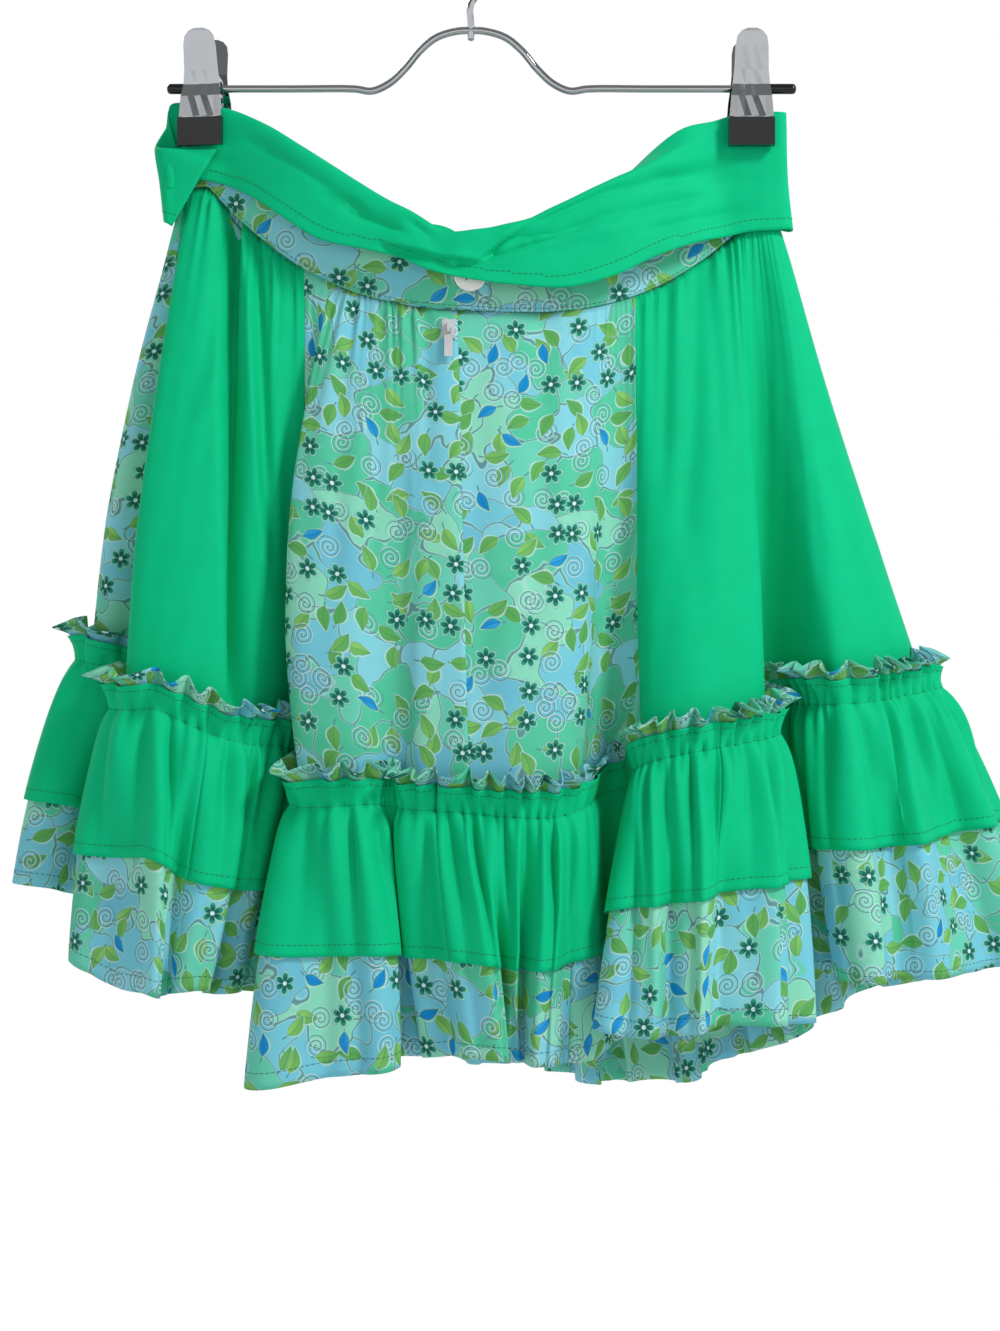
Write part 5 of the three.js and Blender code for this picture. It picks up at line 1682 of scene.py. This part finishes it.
            edge = np.argmin(np.abs(level + 1 - self.edge_turning / header))
            threads.sew(points[:, edge], normals[:, edge])


# ---------------------------------------------------------------- waistband


@dataclass(frozen=True)
class BandSizes:
    """The waistband: its two ends as turns, and how the over-end lifts off the under-end."""

    height: float = 38
    wall: float = 1.5
    under_turn: float = 82.6
    over_turn: float = 451.3
    lap: float = 15
    lift: float = 2.4
    unevenness: float = 0.35
    columns: int = 520
    rows: int = 22
    print_shift: float = 700


@dataclass
class Waistband:
    """The print waistband, lapped at the centre back."""

    finishes: Finishes
    sizes: BandSizes = BandSizes()

    def surface(self, turn: np.ndarray, height: np.ndarray) -> np.ndarray:
        """Points of the band's outer face, the height counted up from the waist seam.

        Args:
            turn: turns round the waist, in degrees.
            height: height above the waist seam.

        Returns:
            Points in millimetres.
        """
        up, out = FORM.waist_frame(turn)
        start = self.sizes.under_turn + 360 - self.sizes.lap
        lift = self.sizes.lift * np.clip((turn - start) / self.sizes.lap, 0, 1)
        soft = self.sizes.unevenness * ripple(turn / 14, 6) * np.sin(np.pi * height / self.sizes.height)
        return FORM.waist(turn) + up * height[..., None] + out * (self.sizes.wall / 2 + lift + soft)[..., None]

    def build(self, threads: Stitching) -> None:
        """Makes the band and its rows of topstitching.

        Args:
            threads: takes the topstitching.
        """
        turn = np.linspace(self.sizes.under_turn, self.sizes.over_turn, self.sizes.columns)[:, None]
        height = np.linspace(self.sizes.height, 0, self.sizes.rows)[None, :]
        turn, height = np.broadcast_arrays(turn, height)
        points = self.surface(turn, height)
        rounded = np.sqrt(np.clip(1 - (2 * height / self.sizes.height - 1) ** 10, 0.05, 1))
        points = points - FORM.waist_frame(turn)[1] * ((1 - rounded) * self.sizes.wall / 2)[..., None]
        u = run_length(points[:, 10:11], 0)
        uv = np.stack([np.broadcast_to(u, height.shape), height + self.sizes.print_shift], -1)
        grid = ClothGrid(points, uv, self.sizes.wall * rounded)
        piece = grid.build("waistband_cloth", Cloth.PRINT, self.finishes.print)
        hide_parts("waistband")
        width, length, area = grid.size()
        declare_cut(piece, width, length, area)
        normals = grid_normals(points)
        threads.sew(points[:, -2], normals[:, -2])
        threads.sew(points[:, 1], normals[:, 1])


# ---------------------------------------------------------------- sash

SASH_NEAR = (
    # low_x, low_z, top_x, top_z, out, roll
    (-163, -147, -160, -107, 7.0, 180),
    (-149, -148, -145, -107, 7.1, 180),
    (-138, -151, -133, -110, 7.6, 180),
    (-124, -158, -114, -120, 14, 180),
    (-107, -170, -95, -133, 23, 180),
    (-84, -185, -71, -149, 31, 180),
    (-61, -191, -48, -164, 37, 180),
    (-40, -196, -30, -174, 42, 180),
    (-21, -204, -13, -184, 45, 180),
    (1, -209, 4, -183, 46, 180),
    (25, -212, 27, -178, 45, 180),
    (53, -213, 49, -168, 43, 180),
    (79, -206, 73, -156, 38, 150),
    (105, -193, 98, -144, 29, 90),
    (128, -184, 122, -131, 17, 35),
    (143, -180, 138, -123, 6.6, 8),
    (156, -177, 152, -118, 5.6, 0),
    (170, -176, 167, -117, 5.6, 0),
)
SASH_TURN = ((178.4, -175, 177, -117, 3.8, 0), (178.4, -175, 177, -117, -3.8, 0))
SASH_END = (
    (-171, -169, -171, -116, -3.4, 0),
    (-173, -170, -178, -128, 4.6, 150),
    (-171, -172, -173, -130.4, 11.2, 180),
    (-169.5, -173, -158, -130.8, 11.6, 180),
    (-168, -174, -142.5, -131.5, 11.6, 180),
)
LEAF_SHARES = (0.8, 0.6)
SASH_DRAPES = (
    # start x, z; end x, z; half width; depth of the hollow; how far the cloth above laps over
    ((-48, -189), (-14, -197), 4.0, 0.0, 3.7),
    ((-18, -197), (6, -199.5), 4.0, 0.0, 4.4),
    ((4, -199.5), (32, -178), 3.5, 0.0, 3.1),
    ((8, -198), (52, -184.5), 3.4, 0.7, -3.7),
    ((48, -186), (90, -171), 4.0, 1.0, -3.1),
    ((86, -173), (135, -158), 4.5, 2.0, -1.4),
    ((30, -196), (78, -186), 6.0, 1.7, 0.0),
    ((34, -178), (84, -154), 3.0, 2.4, 1.4),
    ((74, -160), (150, -136), 4.0, 2.5, 1.0),
    ((96, -182), (160, -163), 4.0, 2.2, -1.0),
    ((100, -150), (165, -146), 3.5, 2.0, 0.0),
    ((-70, -163), (-60, -168), 2.6, 4.1, 1.4),
    ((-84, -158), (-52, -176), 4.0, 1.4, 0.0),
    ((-126, -124), (-70, -160), 4.0, 1.2, 0.7),
    ((-70, -168), (-30, -184), 3.6, 1.7, 1.0),
    ((-36, -176), (-20, -188), 3.0, 2.0, -1.0),
    ((-160, -132), (-132, -140), 3.5, 1.4, 0.0),
    ((-171, -132), (-168, -160), 4.0, 1.5, 0.0),
)


@dataclass(frozen=True)
class SashSizes:
    """The sash: one strip with its upper part turned back behind."""

    width: float = 66
    wall: float = 0.9
    crease: float = 2
    hidden: float = 2
    least: float = 8
    tuck: float = 1.6
    tuck_open: float = 0.08
    tuck_start: float = 7
    flare: float = 2.5
    far_rows: int = 16
    far_from: float = 191
    far_to: float = 349
    right_drop: float = 7
    left_drop: float = 16.5
    clearance: float = 3.4
    pinched: float = 2.2
    ease: float = 6
    turning: float = 6.5
    step: float = 1.6


def spline_through(points: np.ndarray, counts: list[int]) -> np.ndarray:
    """Centripetal Catmull-Rom curve through points along the first axis.

    Args:
        points: n by any shape.
        counts: how many steps to take in each of the n - 1 spans.

    Returns:
        The points of the curve.
    """
    ends = np.concatenate([2 * points[:1] - points[1:2], points, 2 * points[-1:] - points[-2:-1]])
    result = []
    for i, count in enumerate(counts):
        p = ends[i : i + 4]
        flat = p.reshape(4, -1, 3)
        knots = [np.zeros(flat.shape[1])]
        for k in range(3):
            knots.append(knots[-1] + np.maximum(np.linalg.norm(flat[k + 1] - flat[k], axis=-1), 1e-3) ** 0.5)
        t0, t1, t2, t3 = (k[:, None] for k in knots)
        last = i == len(counts) - 1
        for s in np.linspace(0, 1, count + 1)[: None if last else -1]:
            t = t1 + (t2 - t1) * s
            a1 = (t1 - t) / (t1 - t0) * flat[0] + (t - t0) / (t1 - t0) * flat[1]
            a2 = (t2 - t) / (t2 - t1) * flat[1] + (t - t1) / (t2 - t1) * flat[2]
            a3 = (t3 - t) / (t3 - t2) * flat[2] + (t - t2) / (t3 - t2) * flat[3]
            b1 = (t2 - t) / (t2 - t0) * a1 + (t - t0) / (t2 - t0) * a2
            b2 = (t3 - t) / (t3 - t1) * a2 + (t - t1) / (t3 - t1) * a3
            result.append(((t2 - t) / (t2 - t1) * b1 + (t - t1) / (t2 - t1) * b2).reshape(points.shape[1:]))
    return np.array(result)


@dataclass
class Sash:
    """The green sash wound once round the waistband."""

    finishes: Finishes
    sizes: SashSizes = SashSizes()

    def _far_rows(self) -> list[tuple]:
        """The far strand, set off from the waist ring.

        Returns:
            Rows like those of SASH_NEAR.
        """
        s = self.sizes
        rows = []
        for i in range(s.far_rows + 1):
            share = i / s.far_rows
            x, _, z = FORM.waist(np.array(s.far_from + (s.far_to - s.far_from) * share))
            depth = float(FORM.waist_depth(x))
            opened = min(1, max(0, (depth - WAIST.pinch) / s.ease))
            clearance = s.pinched + (s.clearance - s.pinched) * opened
            low = z - (s.right_drop + (s.left_drop - s.right_drop) * share)
            rows.append((x, low, x, low + s.width - s.least, -depth - clearance, 0))
        return rows

    def _section(self, row: tuple, outward: np.ndarray) -> np.ndarray:
        """One cross-section, from the turned-back upper edge down to the lower edge.

        Args:
            row: one row of SASH_NEAR.
            outward: the level direction out of the sash.

        Returns:
            Seven points in millimetres.
        """
        s = self.sizes
        low_x, low_z, top_x, top_z, out, roll = row
        low = np.array([low_x, -out + FORM.twist_shift(low_x), low_z])
        top = np.array([top_x, -out + FORM.twist_shift(top_x), top_z])
        front = np.linalg.norm(top - low)
        up = unit(top - low)
        fold = (1 - math.cos(math.radians(roll))) / 2
        gap = s.tuck + s.tuck_open * max(0, abs(out) - s.tuck_start)
        crease = top + up * s.crease * (1 - fold) - outward * gap * fold
        leaf = max(s.width - front, s.least) - s.crease
        behind = min(leaf, front - s.hidden)
        turned_up = leaf - behind
        lean = up * math.cos(math.radians(roll)) - outward * math.sin(math.radians(roll))
        upper = [crease, top, (top + low) / 2, low + outward * s.flare * (1 - fold)]
        if turned_up == 0:
            return np.array([crease + lean * leaf * share for share in (1, *LEAF_SHARES)] + upper)
        inner = crease + lean * behind + outward * gap / 2
        return np.array([inner + up * turned_up, inner, crease + lean * behind, *upper])

    def build(self, threads: Stitching) -> None:
        """Makes the sash and its hem stitching.

        Args:
            threads: takes the hem's stitches.
        """
        rows = [*SASH_NEAR, *SASH_TURN, *self._far_rows(), *SASH_END]
        centres = np.array([(r[0], -r[4] + FORM.twist_shift(r[0]), 0) for r in rows], float)
        sections = []
        for i, row in enumerate(rows):
            along = unit(centres[min(i + 1, len(rows) - 1)] - centres[max(0, i - 1)])
            sections.append(self._section(row, np.array([along[1], -along[0], 0])))
        control = np.array(sections)
        spans = np.linalg.norm(np.diff(control[:, 5], axis=0), axis=-1)
        counts = [max(2, int(span / self.sizes.step)) for span in spans]
        lengthwise = spline_through(control, counts)
        crosswise = spline_through(lengthwise.transpose(1, 0, 2), [4, 3, 6, 4, 12, 14]).transpose(1, 0, 2)
        points = self._draped(crosswise)
        u = run_length(points[:, -6:-5], 0)
        v = -run_length(points, 1)
        uv = np.stack([np.broadcast_to(u, v.shape), v], -1)
        points = points + grid_normals(points) * (self.sizes.wall / 2)
        grid = ClothGrid(points, uv, self.sizes.wall)
        piece = grid.build("sash_cloth", Cloth.GREEN, self.finishes.green)
        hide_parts("sash")
        width, length, area = grid.size()
        declare_cut(piece, width, length, area)
        normals = grid_normals(points)
        run = run_length(points, 1)
        row = np.argmin(np.abs(run[:, -1:] - run - self.sizes.turning), axis=1)
        line = np.arange(len(points))
        threads.sew(points[line, row], normals[line, row])

    def _draped(self, points: np.ndarray) -> np.ndarray:
        """Presses the drape's soft folds into the sash.

        Args:
            points: the sash's grid.

        Returns:
            The grid with its soft folds.
        """
        normals = grid_normals(points)
        x, z = points[..., 0], points[..., 2]
        front = smooth_step(-points[..., 1] + FORM.twist_shift(x), 2, 8)
        total = np.zeros_like(x)
        for (x0, z0), (x1, z1), width, depth, lap in SASH_DRAPES:
            run = np.array([x1 - x0, z1 - z0], float)
            length = np.linalg.norm(run)
            run /= length
            along = (x - x0) * run[0] + (z - z0) * run[1]
            off = (z - z0) * run[0] - (x - x0) * run[1]
            ends = smooth_step(along, -5, 12) * (1 - smooth_step(along, length - 16, length + 5))
            hollow = np.exp(-((off / width) ** 2))
            step = np.tanh(off / 0.9) * np.exp(-np.abs(off) / (2.2 * width))
            total -= ends * (depth * hollow - lap * step)
        return points + normals * (total * front)[..., None]


# ---------------------------------------------------------------- hanger

HUMP = ((66, 0), (56, -1.2), (46.3, 3), (37.3, 11.3), (28.8, 21.5), (19.5, 29), (8.5, 32.5))
HUMP_TOP = 33.0
BAR_LEFT, BAR_RIGHT = -169.5, 181.5
WIRE_RADIUS = 2.1
HOOK_RADIUS = 2.0
SLEEVE_RADIUS = 2.9
ROUND_SIDES = 24
# how far along and how wide the rings of a rounded end are, as shares of the radius
DOME = ((0.35, 0.9), (0.6, 0.6), (0.7, 0.2))


def swept(points: np.ndarray, radius: float, sides: int, name: str) -> bpy.types.Object:
    """A round bar through points, its ends closed by small domes.

    Args:
        points: the middle line, n by 3.
        radius: of the bar.
        sides: corners of its round.
        name: the piece's name.

    Returns:
        The piece, without a material.
    """
    along = unit(np.gradient(points, axis=0))
    side = unit(np.cross(along, np.array([0.0, 1.0, 0.0])) + 1e-9)
    other = np.cross(along, side)
    radii = np.broadcast_to(np.asarray(radius, float), (len(points),)).copy()
    angle = 2 * np.pi * np.arange(sides) / sides
    circle = side[:, None] * np.cos(angle)[None, :, None] + other[:, None] * np.sin(angle)[None, :, None]
    rings = points[:, None] + circle * radii[:, None, None]
    caps = []
    for end, sign in ((0, -1), (-1, 1)):
        dome = []
        for lift, shrink in DOME:
            centre = points[end] + sign * along[end] * radii[end] * lift
            dome.append(centre + circle[end] * radii[end] * shrink)
        caps.append(dome)
    grid = np.concatenate([np.array(caps[0][::-1]), rings, np.array(caps[1])])
    rows = len(grid)
    faces = grid_faces(sides, rows, True, True)
    vertices = grid.transpose(1, 0, 2).reshape(-1, 3)
    return make_mesh(name, vertices, faces)


@dataclass
class Hanger:
    """The hanger's wire, hook and sleeves; the clips are the solids themselves."""

    finishes: Finishes
    hook_bend: float = 20
    hook_centre: float = -18
    hook_turns: tuple = (-52, 205)
    stem: tuple = ((0, 0, -66.5), (0, 0, -58), (0, 0, -47))
    sleeve_ends: tuple = (-160, 168)

    def _fit(self, piece: bpy.types.Object, node: str, material: bpy.types.Material) -> None:
        """Gives a piece its material and its place in the frame.

        Args:
            piece: what to fit.
            node: the solid that it replaces.
            material: its finish.
        """
        piece.data.materials.append(material)
        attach(piece, GARMENT)
        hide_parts(node)

    def build(self) -> None:
        """Makes the wire, the hook and the sleeves."""
        left = [(-run, 0, BAR_Z + rise) for run, rise in HUMP]
        right = [(run, 0, BAR_Z + rise) for run, rise in reversed(HUMP)]
        chrome, rubber = self.finishes.chrome, self.finishes.rubber
        line = [
            (BAR_LEFT, 0, BAR_Z),
            (-100, 0, BAR_Z),
            *left,
            (0, 0, BAR_Z + HUMP_TOP),
            *right,
            (100, 0, BAR_Z),
            (BAR_RIGHT, 0, BAR_Z),
        ]
        curve = spline_through(np.array(line, float), [6, 4, *[7] * 14, 4, 6])
        self._fit(swept(curve, WIRE_RADIUS, ROUND_SIDES, "wire"), "hanger_wire", chrome)
        turn = np.radians(np.linspace(*self.hook_turns, 60))
        rise = self.hook_centre + self.hook_bend * np.sin(turn)
        hook = np.stack([self.hook_bend * np.cos(turn), 0 * turn, rise], -1)
        curve = spline_through(np.concatenate([np.array(self.stem, float), hook]), [3, 3, 8, *[2] * 59])
        self._fit(swept(curve, HOOK_RADIUS, ROUND_SIDES, "hook"), "hanger_hook", chrome)
        for side, inner, tip in zip(("left", "right"), self.sleeve_ends, (BAR_LEFT, BAR_RIGHT)):
            node = "hanger_sleeve_" + side
            points = np.linspace((inner, 0, BAR_Z), (tip + math.copysign(0.2, tip), 0, BAR_Z), 8)
            self._fit(swept(points, SLEEVE_RADIUS, ROUND_SIDES, node + "_skin"), node, rubber)
        LOG.info("hanger: wire, hook and sleeves")


# ---------------------------------------------------------------- studio

HORIZON = (
    # height from straight down to straight up, brightness
    (0.0, 0.15),
    (0.3, 0.3),
    (0.37, 1.0),
    (0.63, 1.0),
    (0.7, 0.2),
    (1.0, 0.3),
)


@dataclass(frozen=True)
class Lamp:
    """A square soft lamp, in metres and watts, turned toward the skirt's middle."""

    name: str
    spot: tuple[float, float, float]
    size: float
    power: float
    aim: tuple[float, float, float] = (0, 0, -0.4)

    def build(self) -> None:
        """Hangs the lamp."""
        light = bpy.data.lights.new(self.name, "AREA")
        light.size = self.size
        light.energy = self.power
        lamp = bpy.data.objects.new(self.name, light)
        lamp.location = self.spot
        lamp.rotation_euler = (Vector(self.aim) - Vector(self.spot)).to_track_quat("-Z", "Y").to_euler()
        bpy.context.scene.collection.objects.link(lamp)


@dataclass(frozen=True)
class Studio:
    """A pale floor below the skirt, a bright horizon all round, soft lamps and a level camera.

    Attributes:
        floor_half, floor_z: half the floor's side and its height, in millimetres.
        lamps: a key from the right and a weaker one from behind.
        eye: the camera's place in millimetres.
        seen: the height of the camera's view at the skirt, in steps of seen_step millimetres.
        film: the width of the camera's film in millimetres.
    """

    floor_half: float = 1900
    floor_z: float = -1300
    lamps: tuple = (Lamp("key", (1.35, -1.1, 1.05), 0.5, 31), Lamp("back", (-1.2, 1.5, 1.0), 0.8, 16))
    eye: tuple = (16.4, -1500, -420.7)
    seen: float = 1331
    seen_step: float = 0.565
    film: float = 36

    def build(self) -> None:
        """Makes the floor, the world's light and the lamps, and sets plain sRGB output."""
        half, low = self.floor_half, self.floor_z
        corners = np.array([(-half, -half, low), (half, -half, low), (half, half, low), (-half, half, low)])
        floor = make_mesh("studio_floor", corners, np.array([[0, 1, 2, 3]]))
        # matt white paper: an even ground without highlights
        floor.data.materials.append(HardFinish("white_paper", "#fafafa", 0.9, "#f4f4f4", grain=0.0).build())
        world = bpy.context.scene.world or bpy.data.worlds.new("studio")
        bpy.context.scene.world = world
        nodes = Nodes(world, "Background")
        split = nodes.add("SeparateXYZ", (nodes.add("TexCoord"),))
        height = nodes.add("MapRange", {0: split.outputs[2], 1: -1.0})
        stops = tuple((place, (shade, shade, shade, 1)) for place, shade in HORIZON)
        nodes.feed(nodes.shader, {"Color": nodes.add("ValToRGB", (height,), stops)})
        for lamp in self.lamps:
            lamp.build()
        bpy.context.scene.view_settings.view_transform = "Standard"
        LOG.info("studio: floor, horizon and %d lamps", len(self.lamps))

    def build_camera(self) -> None:
        """A level camera in front of the skirt's back."""
        data = bpy.data.cameras.new("camera")
        data.sensor_fit = "AUTO"
        data.sensor_width = self.film
        data.lens = self.film * -self.eye[1] / (self.seen * self.seen_step)
        camera = bpy.data.objects.new("camera", data)
        camera.location = [along * MM for along in self.eye]
        camera.rotation_euler = (math.radians(90), 0, 0)
        bpy.context.scene.collection.objects.link(camera)
        bpy.context.scene.camera = camera


def main() -> None:
    """Builds every piece in order."""
    logging.basicConfig(level=logging.INFO, format="%(name)s: %(message)s")
    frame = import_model()
    studio = Studio()
    studio.build_camera()
    studio.build()
    finishes = Finishes.make()
    nodes = frame["nodes"]
    slots = {entry["node"]: entry["material_slot"] for entry in frame["record"]["subparts"]}
    looks = {
        "green_cloth": finishes.green,
        "print_cloth": finishes.print,
        "zip_tape": finishes.tape,
        "button": finishes.resin,
        "zip_metal": finishes.zip_metal,
        "chrome": finishes.chrome,
        "rubber": finishes.rubber,
    }
    for name, node in nodes.items():
        node.data.materials.clear()
        node.data.materials.append(looks[slots[name]])
    green_threads = Stitching("green_stitching")
    print_threads = Stitching("print_stitching", thread=0.36)
    Waistband(finishes).build(print_threads)
    GoreSet(finishes).build()
    flounces = FlounceSet(finishes)
    flounces.build(Cloth.PRINT, print_threads, None)
    flounces.build(Cloth.GREEN, green_threads, green_threads)
    Sash(finishes).build(green_threads)
    green_threads.build(Cloth.GREEN, finishes.green_thread)
    print_threads.build(Cloth.PRINT, finishes.print_thread)
    Hanger(finishes).build()


if __name__ == "__main__":
    main()
